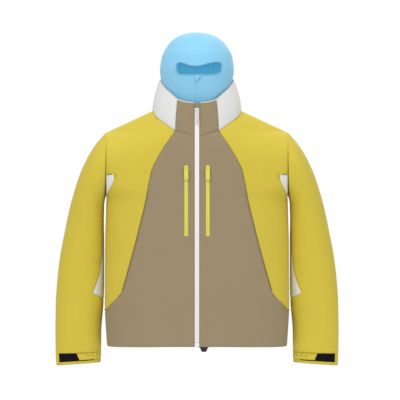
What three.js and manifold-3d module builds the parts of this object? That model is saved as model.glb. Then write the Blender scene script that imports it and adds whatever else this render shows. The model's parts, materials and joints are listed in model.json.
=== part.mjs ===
// A ski jacket on an unseen wearer: a cloth shell sewn from panels, sleeves with hook and loop cuffs,
// a full-length front zip, two chest pocket zips, a stand collar and a lift-out balaclava hood.
// Millimetres. +X is the wearer's left, -Y the front, +Z up. The origin is under the hanger loop's top run.
import * as THREE from "three";
import { mergeVertices } from "three/addons/utils/BufferGeometryUtils.js";
import Module from "manifold-3d";

const wasm = await Module();
wasm.setup();

// ---- Driving sizes of the torso, with height measured up from the hem ----
const hemHalfWidth = 262;
const chestHalfWidth = 268;
const shoulderHalfWidth = 263;
const neckHalfWidth = 130;
const bodyLength = 682; // hem to the point where shoulder and collar meet
const shoulderDrop = 62; // from that point down to the shoulder's end
const armholeDepth = 190; // shoulder's end down to the armpit
const armholeHalfWidth = 80; // half the armhole, front to back
const frontDepth = 128; // centre of the body to the front, at the hem
const frontLean = 0.02; // how far the front leans back for each unit of height
const backDepth = 120;
const neckFrontDrop = 77;
const neckBackRise = 13;
const bodySquareness = 2.6; // exponent of the body's rounded section
const shoulderRound = 137; // height over which the shoulder rounds over

// ---- Cloth ----
const shellThickness = 2;
const liningThickness = 1.2;
const liningDepth = 9; // outer face of the shell to the outer face of the lining
const seamGap = 0.8; // groove between two sewn panels
const fitGap = 0.4; // between two pieces that touch

// ---- Collar ----
const collarFrontHeight = 96;
const collarSideHeight = 87;
const collarBackHeight = 90;
const collarTopHalfWidth = 110;
const collarTopBack = 103;
const collarTopShift = -8; // centre of the collar's top, front to back
const collarSeam = [63, 57]; // front seam of the collar: its place at the bottom and at the top
const collarBackSeam = 50;
const facingDepth = 3.2;
const facingProud = 1.6; // the facing stands this much above the collar

// ---- Sleeves ----
const sleeveDrop = 678; // shoulder's end down to the cuff
const sleeveStart = 0.8; // clearance at the armhole seam
const sleeveLiningDepth = 4.6;
const sleeveSquareness = 2.2;
const sleeveSides = 16;

// ---- Cuff closure ----
const tabHeight = 23;
const tabAbove = 36.5; // middle of the tab above the shoulder-to-cuff line's lower end
const tabThickness = 1.8;
const patchThickness = 1.0;
const hookThickness = 1.0;

// ---- Front zip ----
const zipHalfWidth = 6.5; // half the opening between the front panels
const zipBottom = 14;
const zipEndDrop = 11; // the collar's front top down to the zip's end
const coilGap = 0.55; // half the gap between the two rows of the coil
const sliderEndDrop = 4; // the zip's end down to the closed slider
const zipSliderSize = { halfWidth: 5, length: 14 };
const zipPull = { length: 44, width: 7.6, thickness: 1.8 };

// ---- Chest pockets ----
const pocketX = 31;
const pocketBottom = 318;
const pocketTop = 522;
const pocketHalfWidth = 5.5;
const pocketSlider = { halfWidth: 4.1, length: 12, top: 516 };
const pocketPull = { length: 35, width: 11.6, thickness: 1.6 };

// ---- Hem ----
const hemFacingHeight = 28;
const cordRadius = 1.5;
const cordHeight = 14;
const cordDepth = 5.6;
const lock = { x: 20, halfWidth: 12, halfDepth: 5.6, depth: 8.9, bottom: -8, top: 13.2, wall: 2 };
const button = { radius: 4.2, bottom: -14, top: 4.5, travel: 3 };
const lockCordHeight = 0;

// ---- Hood ----
const hoodSplitX = 49; // the back panel's half width
const maskSeamX = -4;
const hoodThickness = 1.8;

// ---- Hanger loop ----
const loop = { halfSpan: 24, legHalfSpan: 31, rise: 15, width: 7, thickness: 1.5, y: 65 };

// ---- Colours and materials ----
const cloth = (color) => new THREE.MeshStandardMaterial({ color, roughness: 0.85, metalness: 0 });
const taupe = cloth(0xa39272);
const mustard = cloth(0xd8c344);
const offWhite = cloth(0xe9eae6);
const skyBlue = cloth(0x8fd3f5);
const greyLining = cloth(0x8d8c88);
const blackPile = cloth(0x111210);
const whiteZip = new THREE.MeshStandardMaterial({ color: 0xf4f4f2, roughness: 0.5, metalness: 0 });
const limeZip = new THREE.MeshStandardMaterial({ color: 0xdde04a, roughness: 0.5, metalness: 0 });
const blackPlastic = new THREE.MeshStandardMaterial({ color: 0x151515, roughness: 0.45, metalness: 0 });
const springSteel = new THREE.MeshStandardMaterial({ color: 0xb8bcc0, roughness: 0.3, metalness: 1 });

// ================= small tools =================
const lerp = THREE.MathUtils.lerp;
const clamp = THREE.MathUtils.clamp;
const smoothstep = THREE.MathUtils.smoothstep;
const point = (x, y, z) => new THREE.Vector3(x, y, z);

// A smooth curve y(x) through hand-picked stops, with no overshoot between them.
function smooth(stops) {
  const x = stops.map((s) => s[0]);
  const y = stops.map((s) => s[1]);
  const last = x.length - 1;
  const slope = x.slice(1).map((v, i) => (y[i + 1] - y[i]) / (v - x[i]));
  const tangent = y.map((_, i) => {
    if (i === 0) return slope[0];
    if (i === last) return slope[last - 1];
    return slope[i - 1] * slope[i] <= 0 ? 0 : (2 * slope[i - 1] * slope[i]) / (slope[i - 1] + slope[i]);
  });
  return (at) => {
    if (at <= x[0]) return y[0];
    if (at >= x[last]) return y[last];
    const i = x.findIndex((v, k) => k < last && at <= x[k + 1]);
    const width = x[i + 1] - x[i];
    const t = (at - x[i]) / width;
    const rise = t * t * (3 - 2 * t);
    return (
      y[i] * (1 - rise) +
      y[i + 1] * rise +
      width * (tangent[i] * t * (1 - t) * (1 - t) - tangent[i + 1] * t * t * (1 - t))
    );
  };
}

// A closed sheet of cloth between two grids of points, rows by columns. A wrapped grid closes on itself.
function sheet(outer, inner, wrap = false) {
  const columns = outer[0].length;
  const count = outer.length;
  const positions = [outer, inner].flat(2).flatMap((p) => [p.x, p.y, p.z]);
  const index = [];
  const id = (layer, i, j) => (layer * count + i) * columns + (j % columns);
  const quad = (a, b, c, d) => index.push(a, b, c, a, c, d);
  const spans = wrap ? columns : columns - 1;
  for (let i = 0; i < count - 1; i++) {
    for (let j = 0; j < spans; j++) {
      quad(id(0, i, j), id(0, i, j + 1), id(0, i + 1, j + 1), id(0, i + 1, j));
      quad(id(1, i, j), id(1, i + 1, j), id(1, i + 1, j + 1), id(1, i, j + 1));
    }
  }
  for (let j = 0; j < spans; j++) {
    const top = count - 1;
    quad(id(1, 0, j), id(1, 0, j + 1), id(0, 0, j + 1), id(0, 0, j));
    quad(id(0, top, j), id(0, top, j + 1), id(1, top, j + 1), id(1, top, j));
  }
  if (!wrap) {
    for (let i = 0; i < count - 1; i++) {
      const side = columns - 1;
      quad(id(1, i + 1, 0), id(1, i, 0), id(0, i, 0), id(0, i + 1, 0));
      quad(id(1, i, side), id(1, i + 1, side), id(0, i + 1, side), id(0, i, side));
    }
  }
  return outward(
    tidy(new THREE.BufferGeometry().setAttribute("position", new THREE.Float32BufferAttribute(positions, 3)).setIndex(index)),
  );
}

// Turns a closed surface's faces outward when they face in.
function outward(geometry) {
  const at = geometry.attributes.position;
  const index = geometry.index.array;
  const [a, b, c] = [point(0, 0, 0), point(0, 0, 0), point(0, 0, 0)];
  let volume = 0;
  for (let i = 0; i < index.length; i += 3) {
    a.fromBufferAttribute(at, index[i]);
    b.fromBufferAttribute(at, index[i + 1]);
    c.fromBufferAttribute(at, index[i + 2]);
    volume += a.dot(b.cross(c));
  }
  if (volume < 0) for (let i = 0; i < index.length; i += 3) [index[i + 1], index[i + 2]] = [index[i + 2], index[i + 1]];
  return geometry;
}

// Merges vertices at one place and drops the triangles that close up.
function tidy(geometry) {
  const bare = geometry.clone();
  for (const name of Object.keys(bare.attributes)) if (name !== "position") bare.deleteAttribute(name);
  const merged = mergeVertices(bare, 1e-3);
  const index = [];
  for (let i = 0; i < merged.index.count; i += 3) {
    const [a, b, c] = [0, 1, 2].map((k) => merged.index.getX(i + k));
    if (a !== b && b !== c && a !== c) index.push(a, b, c);
  }
  return merged.setIndex(index);
}

function solid(geometry) {
  const closed = tidy(geometry);
  return new wasm.Manifold(
    new wasm.Mesh({
      numProp: 3,
      vertProperties: closed.attributes.position.array,
      triVerts: new Uint32Array(closed.index.array),
    }),
  );
}

function surfaceOf(manifold) {
  const mesh = manifold.getMesh();
  return new THREE.BufferGeometry()
    .setAttribute("position", new THREE.Float32BufferAttribute(mesh.vertProperties, 3))
    .setIndex(new THREE.BufferAttribute(mesh.triVerts, 1));
}

// The other side's copy of a piece.
function mirrored(geometry) {
  const copy = tidy(geometry).scale(-1, 1, 1);
  const index = copy.index.array;
  for (let i = 0; i < index.length; i += 3) [index[i + 1], index[i + 2]] = [index[i + 2], index[i + 1]];
  return copy;
}

const box = (x0, x1, y0, y1, z0, z1) =>
  new THREE.BoxGeometry(x1 - x0, y1 - y0, z1 - z0).translate((x0 + x1) / 2, (y0 + y1) / 2, (z0 + z1) / 2);

// An outline drawn as [across, up] and extruded from the front, y0, to the back, y1.
function frontPrism(outline, y0, y1) {
  const shape = new THREE.Shape(outline.map(([x, z]) => new THREE.Vector2(x, z)));
  const made = new THREE.ExtrudeGeometry(shape, { depth: y1 - y0, bevelEnabled: false });
  return made.rotateX(Math.PI / 2).translate(0, y1, 0);
}

// A section drawn as [x, depth behind the surface] and extruded up from z0 to z1.
function rail(section, z0, z1) {
  const shape = new THREE.Shape(section.map(([x, y]) => new THREE.Vector2(x, y)));
  return new THREE.ExtrudeGeometry(shape, { depth: z1 - z0, bevelEnabled: false }).translate(0, 0, z0);
}

// A line's outline, width wide with mitred corners, for cutting a seam.
function ribbon(line, width) {
  const flat = line.map(([x, z]) => new THREE.Vector2(x, z));
  const normals = flat.slice(1).map((p, i) => {
    const along = p.clone().sub(flat[i]).normalize();
    return new THREE.Vector2(-along.y, along.x);
  });
  const sides = flat.map((_, i) => {
    const sum = normals[Math.max(i - 1, 0)].clone().add(normals[Math.min(i, normals.length - 1)]);
    return sum.multiplyScalar(width / sum.lengthSq());
  });
  const near = flat.map((p, i) => p.clone().add(sides[i]));
  const far = flat.map((p, i) => p.clone().sub(sides[i])).reverse();
  return [...near, ...far].map((p) => [p.x, p.y]);
}

// Every separate body of a solid, sorted by a number worked out from its box.
const pieces = (manifold, key) =>
  manifold
    .decompose()
    .filter((body) => body.volume() > 50)
    .map((body) => ({ body, at: key(body.boundingBox()) }))
    .sort((a, b) => a.at - b.at)
    .map(({ body }) => surfaceOf(body));

// ================= torso =================
const neckZ = bodyLength;
const shoulderZ = bodyLength - shoulderDrop;
const armpitZ = shoulderZ - armholeDepth;
const armholeMidZ = (shoulderZ + armpitZ) / 2;
const ridgeSlope = shoulderDrop / (shoulderHalfWidth - neckHalfWidth);
const neckFrontZ = neckZ - neckFrontDrop;
const neckBackZ = neckZ + neckBackRise;
const zipTop = neckFrontZ + collarFrontHeight - zipEndDrop;
const zipSlider = { ...zipSliderSize, top: zipTop - sliderEndDrop };

const halfWidth = smooth([
  [0, hemHalfWidth],
  [0.28 * armpitZ, chestHalfWidth],
  [0.7 * armpitZ, chestHalfWidth - 1],
  [armpitZ, shoulderHalfWidth],
]);
const softCentre = 25; // the shoulder ridge is rounded off this far from the middle
const fromCentre = (x) => (x < softCentre ? (softCentre / 2) * (1 + (x / softCentre) ** 2) : x);
const ridgeZ = (x) => shoulderZ + ridgeSlope * (shoulderHalfWidth - fromCentre(x));
const ridgeX = (z) => shoulderHalfWidth - (z - shoulderZ) / ridgeSlope;
const zipY = (z) => -(frontDepth - frontLean * z);

// Half the armhole's opening, front to back, at a height.
function armholeY(z) {
  const t = (z - armholeMidZ) / (armholeDepth / 2);
  return Math.abs(t) < 1 ? armholeHalfWidth * Math.sqrt(1 - t * t) : 0;
}

// How far the body's surface stands from the middle plane, front or back, at x across and z up.
function standOff(x, z, isFront) {
  const across = Math.min(Math.abs(x) / halfWidth(z), 1);
  const roundness = lerp(1 / bodySquareness, 0.75, smoothstep(z, armpitZ, armpitZ + armholeDepth / 2));
  const share = Math.pow(1 - Math.pow(across, bodySquareness), roundness);
  const t = clamp((ridgeZ(Math.abs(x)) - z) / shoulderRound, 0, 1);
  const arch = Math.sqrt(1 - (1 - t) * (1 - t));
  const full = isFront ? -zipY(z) : backDepth;
  return lerp(armholeY(z), full * arch, share);
}

// The neck seam: its place across for each height, at the front and at the back.
const neckSeamX = smooth([
  [neckFrontZ, zipHalfWidth],
  [neckFrontZ + 0.12 * neckFrontDrop, 33],
  [neckFrontZ + 0.24 * neckFrontDrop, 63],
  [neckFrontZ + 0.5 * neckFrontDrop, 0.71 * neckHalfWidth],
  [neckFrontZ + 0.76 * neckFrontDrop, 0.92 * neckHalfWidth],
  [neckZ, neckHalfWidth],
]);
const neckBackX = (z) => neckHalfWidth * (1 - clamp((z - neckZ) / neckBackRise, 0, 1) ** 1.25);

// The same place on a layer of the body that lies this deep under its outer face.
function inset(p, depth) {
  const full = p.y < 0 ? -zipY(p.z) : backDepth;
  const overShoulder = smoothstep(p.z, shoulderZ - shoulderRound, shoulderZ);
  return point(p.x * (1 - depth / halfWidth(p.z)), p.y * (1 - depth / full), p.z - depth * overShoulder);
}
const layer = (rows, depth) => rows.map((row) => row.map((p) => inset(p, depth)));
const bodySheet = (rows, depth = 0, thickness = shellThickness) =>
  sheet(layer(rows, depth), layer(rows, depth + thickness));

// One level of the body, from x = inner to outer. The points are closer together where it bends.
function torsoRow(z, inner, outer, isFront, columns) {
  const dense = 90;
  const line = Array.from({ length: dense + 1 }, (_, i) => {
    const x = inner + (outer - inner) * Math.sin((Math.PI / 2) * (i / dense));
    return point(x, (isFront ? -1 : 1) * standOff(x, z, isFront), z);
  });
  const steps = line.slice(1).map((p, i) => p.clone().sub(line[i]));
  const length = steps.reduce((sum, step) => sum + step.length(), 0);
  const bend = steps.map((step, i) => (i ? step.angleTo(steps[i - 1]) : 0));
  const turn = bend.reduce((sum, angle) => sum + angle, 0) + 0.2;
  const measure = [0];
  steps.forEach((step, i) => measure.push(measure[i] + step.length() / length + bend[i] / turn));
  return Array.from({ length: columns + 1 }, (_, k) => {
    const target = (measure[dense] * k) / columns;
    const i = Math.min(Math.max(measure.findIndex((v) => v >= target - 1e-9) - 1, 0), dense - 1);
    return line[i].clone().lerp(line[i + 1], clamp((target - measure[i]) / (measure[i + 1] - measure[i]), 0, 1));
  });
}

// The levels that the body's grid has: below the armpit, round the armhole and over the shoulder.
const lowerLevels = [0, 0.14, 0.34, 0.6, 0.86].map((t) => t * armpitZ);
const armholeLevels = Array.from({ length: 8 }, (_, k) => armholeMidZ - (armholeDepth / 2) * Math.cos((k * Math.PI) / 8));
const frontNeckLevels = [0, 0.07, 0.13].map((t) => neckFrontZ + t * neckFrontDrop);
const ridgeLevels = [0, 0.22, 0.48, 0.76, 0.985].map((t) => lerp(shoulderZ, neckZ, t));
const backNeckLevels = [0.12, 0.34, 0.6, 0.84].map((t) => neckZ + t * neckBackRise);
const sorted = (levels) => [...levels].sort((a, b) => a - b).filter((z, i, all) => i === 0 || z - all[i - 1] > 1.5);
const frontLevels = sorted([...lowerLevels, ...armholeLevels, ...frontNeckLevels, ...ridgeLevels]);
const backLevels = sorted([...lowerLevels, ...armholeLevels, ...ridgeLevels, ...backNeckLevels]);

const outerEdge = (z) => {
  if (z > neckZ) return neckBackX(z);
  if (z > shoulderZ) return ridgeX(z);
  return halfWidth(z);
};
const innerEdge = (z) => (z < neckFrontZ ? zipHalfWidth : neckSeamX(z));

// The wearer's left front, from the zip to the side, the armhole and the shoulder ridge.
function frontRows(levels, columns, from = innerEdge, to = outerEdge) {
  return levels.map((z) => {
    const row = torsoRow(z, from(z), to(z), true, columns);
    row.at(-1).y = Math.min(row.at(-1).y, -seamGap / 2);
    return row;
  });
}

// The whole back, from the right side to the left.
function backRows(levels, columns) {
  return levels.map((z) => {
    const half = torsoRow(z, 0, outerEdge(z), false, columns);
    half.at(-1).y = Math.max(half.at(-1).y, seamGap / 2);
    const right = half.slice(1).map((p) => point(-p.x, p.y, p.z));
    return [...right.reverse(), ...half];
  });
}

// ---- Seam lines, as shares of the chest's half width and of the body's length ----
const seamShare = [
  [0.24, 0.914],
  [0.349, 0.848],
  [0.434, 0.79],
  [0.485, 0.748],
  [0.516, 0.694],
  [0.557, 0.608],
  [0.602, 0.535],
  [0.655, 0.45],
  [0.737, 0.331],
  [0.817, 0.22],
  [0.938, 0.179],
  [0.965, 0.135],
];
const sideSeamLine = [
  [0.215 * chestHalfWidth, 0.95 * bodyLength],
  ...seamShare.map(([x, z]) => [x * chestHalfWidth, z * bodyLength]),
  [1.04 * chestHalfWidth, 0.118 * bodyLength],
];
const gussetInner = [shoulderHalfWidth - 31, armpitZ + 0.36 * armholeDepth];
const gussetTop = [shoulderHalfWidth + 6, armpitZ + 0.335 * armholeDepth];
const gussetLow = [shoulderHalfWidth + 6, armpitZ + 0.01 * armholeDepth];

const FRONT_COLUMNS = 8;
const BACK_COLUMNS = 8;

const frontShell = bodySheet(frontRows(frontLevels, FRONT_COLUMNS));

// The pocket's opening, with a pointed top end.
const pocketOutline = (grow) => [
  [pocketX - pocketHalfWidth - grow, pocketBottom - grow],
  [pocketX + pocketHalfWidth + grow, pocketBottom - grow],
  [pocketX + pocketHalfWidth + grow, pocketTop - 5],
  [pocketX + 2 + grow, pocketTop + grow],
  [pocketX - 2 - grow, pocketTop + grow],
  [pocketX - pocketHalfWidth - grow, pocketTop - 5],
];

const frontOf = -frontDepth - 60;
const gussetCut = frontPrism(ribbon([[gussetTop[0], gussetTop[1] + 0.6], gussetInner, gussetLow], seamGap), frontOf, 0);
const frontPieces = pieces(
  solid(frontShell)
    .subtract(solid(frontPrism(ribbon(sideSeamLine, seamGap), frontOf, 0)))
    .subtract(solid(gussetCut))
    .subtract(solid(frontPrism(pocketOutline(0), frontOf, 0))),
  (at) => at.min[0],
);

const backShell = bodySheet(backRows(backLevels, BACK_COLUMNS));
const backSeamLine = [[0.3 * neckHalfWidth, 1.1 * bodyLength], ...sideSeamLine.slice(1)];
const backCut = frontPrism(ribbon(backSeamLine, seamGap), 0, backDepth + 60);
const backPieces = pieces(
  solid(backShell).subtract(solid(backCut)).subtract(solid(mirrored(backCut))),
  (at) => (at.min[0] + at.max[0]) / 2,
);

// ---- Lining, hem facing and pocket bags, all parallel to the shell ----
const liningBottom = hemFacingHeight + 0.6;
const liningLevels = (levels) => [liningBottom, ...levels.filter((z) => z > 2 * liningBottom)];
const frontLining = bodySheet(
  frontRows(liningLevels(frontLevels), FRONT_COLUMNS),
  liningDepth,
  liningThickness,
);
const backLining = bodySheet(
  backRows(liningLevels(backLevels), BACK_COLUMNS),
  liningDepth,
  liningThickness,
);

function pocketBag(x0, x1, z0, z1, depth, thickness) {
  const levels = [0, 0.25, 0.5, 0.75, 1].map((t) => lerp(z0, z1, t));
  return bodySheet(frontRows(levels, 5, () => x0, () => x1), depth, thickness);
}
const chestBag = pocketBag(24, 124, pocketBottom - 22, pocketTop + 6, liningDepth - 2.8, 1.8);
const handBagTop = pocketBottom - 38.38; // clear of the chest pocket's bag
const handBag = pocketBag(0.34 * chestHalfWidth, 0.8 * chestHalfWidth, 0.09 * bodyLength, handBagTop, liningDepth - 3.8, 2.6);

// The body's outline at a height, in plan: from the wearer's left of the zip, round the back, to the right.
// It starts at the shell's first column on the left, and a share of a column nearer the zip on the right.
const rightStart = 0.6;
function hemRing(z, depth) {
  const front = torsoRow(z, zipHalfWidth, halfWidth(z), true, FRONT_COLUMNS);
  const back = torsoRow(z, 0, halfWidth(z), false, BACK_COLUMNS);
  const other = (p) => point(-p.x, p.y, p.z);
  const ring = [
    ...front.slice(1),
    ...back.slice(0, -1).reverse(),
    ...back.slice(1, -1).map(other),
    ...front.slice(1).reverse().map(other),
    other(front[1].clone().lerp(front[0], rightStart)),
  ];
  return ring.map((p) => inset(p, depth));
}

// The hem's facing makes a tunnel for the drawcord: a band inside the shell with a lip along its bottom.
function sweptBand(section) {
  const rings = section.map(([depth, z]) => hemRing(z, depth));
  const steps = rings[0].length;
  const index = [];
  rings.forEach((_, k) => {
    const next = (k + 1) % rings.length;
    for (let i = 0; i < steps - 1; i++) {
      const [a, b, c, d] = [k * steps + i, k * steps + i + 1, next * steps + i + 1, next * steps + i];
      index.push(a, b, c, a, c, d);
    }
  });
  for (const [a, b, c] of THREE.ShapeUtils.triangulateShape(section.map(([d, z]) => new THREE.Vector2(d, z)), [])) {
    index.push(a * steps, b * steps, c * steps);
    index.push(a * steps + steps - 1, c * steps + steps - 1, b * steps + steps - 1);
  }
  const positions = rings.flat().flatMap((p) => [p.x, p.y, p.z]);
  return outward(
    new THREE.BufferGeometry().setAttribute("position", new THREE.Float32BufferAttribute(positions, 3)).setIndex(index),
  );
}
const lipStart = shellThickness + 0.6;
const lipBottom = 1;
const lipThickness = 1.2;
const hemFacing = sweptBand([
  [lipStart, lipBottom],
  [liningDepth + liningThickness, lipBottom],
  [liningDepth + liningThickness, hemFacingHeight],
  [liningDepth, hemFacingHeight],
  [liningDepth, lipBottom + lipThickness],
  [lipStart, lipBottom + lipThickness],
]);

// ================= collar =================
const collarTopFrontZ = neckFrontZ + collarFrontHeight;
const collarTopSideZ = neckZ + collarSideHeight;
const collarTopBackZ = neckBackZ + collarBackHeight;
const collarTopZ = smooth([
  [0, collarTopFrontZ],
  [0.27 * collarTopHalfWidth, collarTopFrontZ + 3],
  [0.5 * collarTopHalfWidth, collarTopFrontZ + 10],
  [0.7 * collarTopHalfWidth, collarTopFrontZ + 28],
  [0.84 * collarTopHalfWidth, collarTopFrontZ + 42],
  [0.95 * collarTopHalfWidth, collarTopFrontZ + 57],
  [collarTopHalfWidth, collarTopSideZ],
]);

// The place on the collar's top above a place on the neck seam that is x from the middle.
function collarTop(x, isFront) {
  const start = isFront ? zipHalfWidth : 0;
  const share = (x - start) / (neckHalfWidth - start);
  const across = start + share * (collarTopHalfWidth - start);
  const bow = Math.sqrt(Math.max(0, 1 - share * share));
  const front = zipY(collarTopFrontZ) - collarTopShift;
  const y = collarTopShift + bow * (isFront ? front : collarTopBack);
  const z = isFront ? collarTopZ(across) : lerp(collarTopSideZ, collarTopBackZ, bow);
  return point(across, y, z);
}

// Half of the collar, from the zip round to the centre of the back: pairs of seam point and top point.
function collarHalf(startX) {
  const heights = frontLevels.filter((z) => z >= neckFrontZ - 0.01 && neckSeamX(z) > startX + 4);
  let [low, high] = [neckFrontZ, neckZ];
  for (let i = 0; i < 30; i++) {
    const middle = (low + high) / 2;
    if (neckSeamX(middle) < startX) low = middle;
    else high = middle;
  }
  const front = [low, ...heights].map((z) => {
    const x = Math.max(neckSeamX(z), startX);
    return [point(x, -Math.max(standOff(x, z, true), 0.4), z), collarTop(x, true)];
  });
  const back = [...backNeckLevels, neckBackZ].map((z) => {
    const x = neckBackX(z);
    return [point(x, standOff(x, z, false), z), collarTop(x, false)];
  });
  return [...front, ...back];
}

// The collar's grid at a depth under its outer face, standing lift above the seam and proud of the top.
const collarShares = [0, 0.33, 0.67, 1];
function collarRows(depth, { startX = zipHalfWidth, lift = 1, proud = 0 } = {}) {
  const half = collarHalf(startX);
  const other = half.slice(0, -1).map((pair) => pair.map((p) => point(-p.x, p.y, p.z)));
  const around = [...half, ...other.reverse()];
  return collarShares.map((t) =>
    around.map(([low, high]) => {
      const p = low.clone().lerp(high, t);
      const out = point(p.x, p.y - collarTopShift, 0);
      const bulge = 3.5 * Math.sin(Math.PI * t) * Math.min(1, (Math.abs(p.x) - zipHalfWidth) / collarTopHalfWidth);
      p.addScaledVector(out.normalize(), bulge - depth);
      p.z += lerp(lift, proud, t);
      return p;
    }),
  );
}
const collarShell = sheet(collarRows(0), collarRows(shellThickness));
const collarFrontLine = [
  [collarSeam[0] + 1, neckFrontZ - 20],
  [collarSeam[0], neckFrontZ + 18],
  [collarSeam[1], collarTopFrontZ + 12],
  [collarSeam[1] - 1, collarTopFrontZ + 60],
];
const collarFrontCut = frontPrism(ribbon(collarFrontLine, seamGap), frontOf, -40);
const collarBackCut = box(collarBackSeam - seamGap / 2, collarBackSeam + seamGap / 2, 20, 200, neckZ - 40, neckZ + 160);
const collarPieces = pieces(
  [collarFrontCut, mirrored(collarFrontCut), collarBackCut, mirrored(collarBackCut)].reduce(
    (left, cut) => left.subtract(solid(cut)),
    solid(collarShell),
  ),
  (at) => (at.min[0] + at.max[0]) / 2 + (at.min[1] + at.max[1]) * 1e-3,
);
const facingShape = { startX: 17, lift: 1, proud: facingProud };
const collarFacing = sheet(
  collarRows(facingDepth, facingShape),
  collarRows(facingDepth + liningThickness, facingShape),
);

// ================= sleeves =================
// Each section of the sleeve is an oval across the line from its inner to its outer edge:
// [inner x from the armhole, inner drop from the armpit, outer x, outer drop from the shoulder, half depth, y].
const reach = sleeveDrop - armholeDepth;
const sleeveTable = [
  [0, 0, 0, 0, 80, 0],
  [3, 0.004, 26, 0.043, 83, 2],
  [4.5, 0.011, 49, 0.094, 85, 5],
  [6, 0.021, 71, 0.161, 83, 8],
  [7.5, 0.042, 89, 0.233, 80, 12],
  [8.5, 0.08, 105, 0.31, 77, 15],
  [9, 0.19, 119, 0.406, 72, 18],
  [9, 0.33, 133, 0.516, 66, 20],
  [9, 0.475, 142, 0.62, 61, 20],
  [10, 0.62, 147, 0.726, 56, 18],
  [14, 0.785, 149, 0.84, 50, 15],
  [15, 0.89, 148, 0.922, 46, 12],
  [16, 0.98, 146, 1, 42, 9],
];
const SPLIT = 5; // the section where the upper sleeve ends and the lower sleeve starts
const armholeX = shoulderHalfWidth + sleeveStart;

function sleeveSection(k) {
  const low = Math.floor(Math.min(k, sleeveTable.length - 1.001));
  const t = k - low;
  const row = sleeveTable[low].map((v, i) => lerp(v, sleeveTable[low + 1][i], t));
  return {
    inner: point(armholeX + row[0], row[5], armpitZ - row[1] * reach),
    outer: point(armholeX + row[2], row[5], shoulderZ - row[3] * sleeveDrop),
    depth: row[4],
  };
}

// A point on the sleeve: k along it, an angle round it from 0 at the inner edge over the front, and a depth.
function sleevePoint(k, angle, depth) {
  const section = sleeveSection(k);
  const middle = section.inner.clone().add(section.outer).multiplyScalar(0.5);
  const half = section.outer.clone().sub(section.inner).multiplyScalar(0.5);
  half.setLength(half.length() - depth);
  const c = Math.cos(angle);
  const s = Math.sin(angle);
  const power = 2 / (k === 0 ? 2 : sleeveSquareness);
  middle.addScaledVector(half, -Math.sign(c) * Math.abs(c) ** power);
  middle.y -= (section.depth - depth) * Math.sign(s) * Math.abs(s) ** power;
  return middle;
}

function sleeveRows(from, to, depth, { lift = 0, endDepth = depth } = {}) {
  const ks = [from];
  for (let k = Math.floor(from) + 1; k < to; k++) ks.push(k);
  ks.push(to);
  return ks.map((k, i) =>
    Array.from({ length: sleeveSides }, (_, j) => {
      const at = i === ks.length - 1 ? endDepth : depth;
      const p = sleevePoint(k, (j * 2 * Math.PI) / sleeveSides, at);
      if (i === 0) p.z -= lift;
      return p;
    }),
  );
}
const lastSection = sleeveTable.length - 1;
const upperSleeve = sheet(sleeveRows(0, SPLIT, 0), sleeveRows(0, SPLIT, shellThickness), true);
const lowerStart = { lift: seamGap };
const lowerSleeveTube = sheet(
  sleeveRows(SPLIT, lastSection, 0, lowerStart),
  sleeveRows(SPLIT, lastSection, shellThickness, lowerStart),
  true,
);
const sleeveLining = sheet(
  sleeveRows(SPLIT, lastSection - 0.06, sleeveLiningDepth, { lift: seamGap, endDepth: shellThickness + 0.7 }),
  sleeveRows(SPLIT, lastSection - 0.06, sleeveLiningDepth + liningThickness, {
    lift: seamGap,
    endDepth: shellThickness + 0.7 + liningThickness,
  }),
  true,
);

// The white panel under the sleeve: a narrow strip that widens to a point in front and behind.
const gussetTip = [armholeX + 41, armpitZ - 0.57 * reach];
const sleeveSeamLine = [
  [armholeX + 10.5, armpitZ + 5],
  [armholeX + 11, armpitZ - 0.2 * reach],
  [armholeX + 18, armpitZ - 0.4 * reach],
  [armholeX + 27, armpitZ - 0.496 * reach],
  gussetTip,
  [armholeX + 9, armpitZ - 0.618 * reach],
  [armholeX - 30, armpitZ - 0.69 * reach],
];
const sleevePieces = pieces(
  solid(lowerSleeveTube).subtract(solid(frontPrism(ribbon(sleeveSeamLine, seamGap), -160, 200))),
  (at) => at.max[0],
);

// ---- Cuff tab, its hook pad and the loop patch that it closes on ----
const rad = THREE.MathUtils.degToRad;
const sectionHeight = (sleeveTable[lastSection][3] - sleeveTable[lastSection - 1][3]) * sleeveDrop;
const cuffK = (height) => lastSection - height / sectionHeight; // the section this high above the cuff's end
function cuffStrip(fromAngle, toAngle, low, high, depth, thickness, slant = 0) {
  const steps = 10;
  const rows = (at) =>
    [low, high].map((height, i) =>
      Array.from({ length: steps + 1 }, (_, j) =>
        sleevePoint(cuffK(height), lerp(fromAngle, toAngle + (i ? -slant : slant), j / steps), -at),
      ),
    );
  return sheet(rows(depth + thickness), rows(depth));
}
const tabAngles = { sewn: rad(22), end: rad(100) };
const patchAngles = { from: rad(72), to: rad(162) };
const patchDepth = fitGap;
const hookDepth = patchDepth + patchThickness + fitGap;
const tabDepth = hookDepth + hookThickness + fitGap;
const tabLow = tabAbove - tabHeight - 4;
const cuffPatch = cuffStrip(patchAngles.from, patchAngles.to, tabLow, tabLow + tabHeight, patchDepth, patchThickness);
const hookPad = cuffStrip(rad(76), tabAngles.end - rad(4), tabLow + 1, tabLow + tabHeight - 3, hookDepth, hookThickness);
const cuffTab = cuffStrip(tabAngles.sewn, tabAngles.end, tabLow, tabLow + tabHeight, tabDepth, tabThickness, rad(3));

// ================= zips =================
// In a zip's own frame x is across, y is the depth behind the shell's face, and z runs along it.
const zipTilt = -Math.atan(frontLean);
const placed = (geometry, x, y) => geometry.rotateX(zipTilt).translate(x, y, 0);
const mainFront = zipY(0);
const pocketFront = -standOff(pocketX, pocketBottom, true) - frontLean * pocketBottom;

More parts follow.
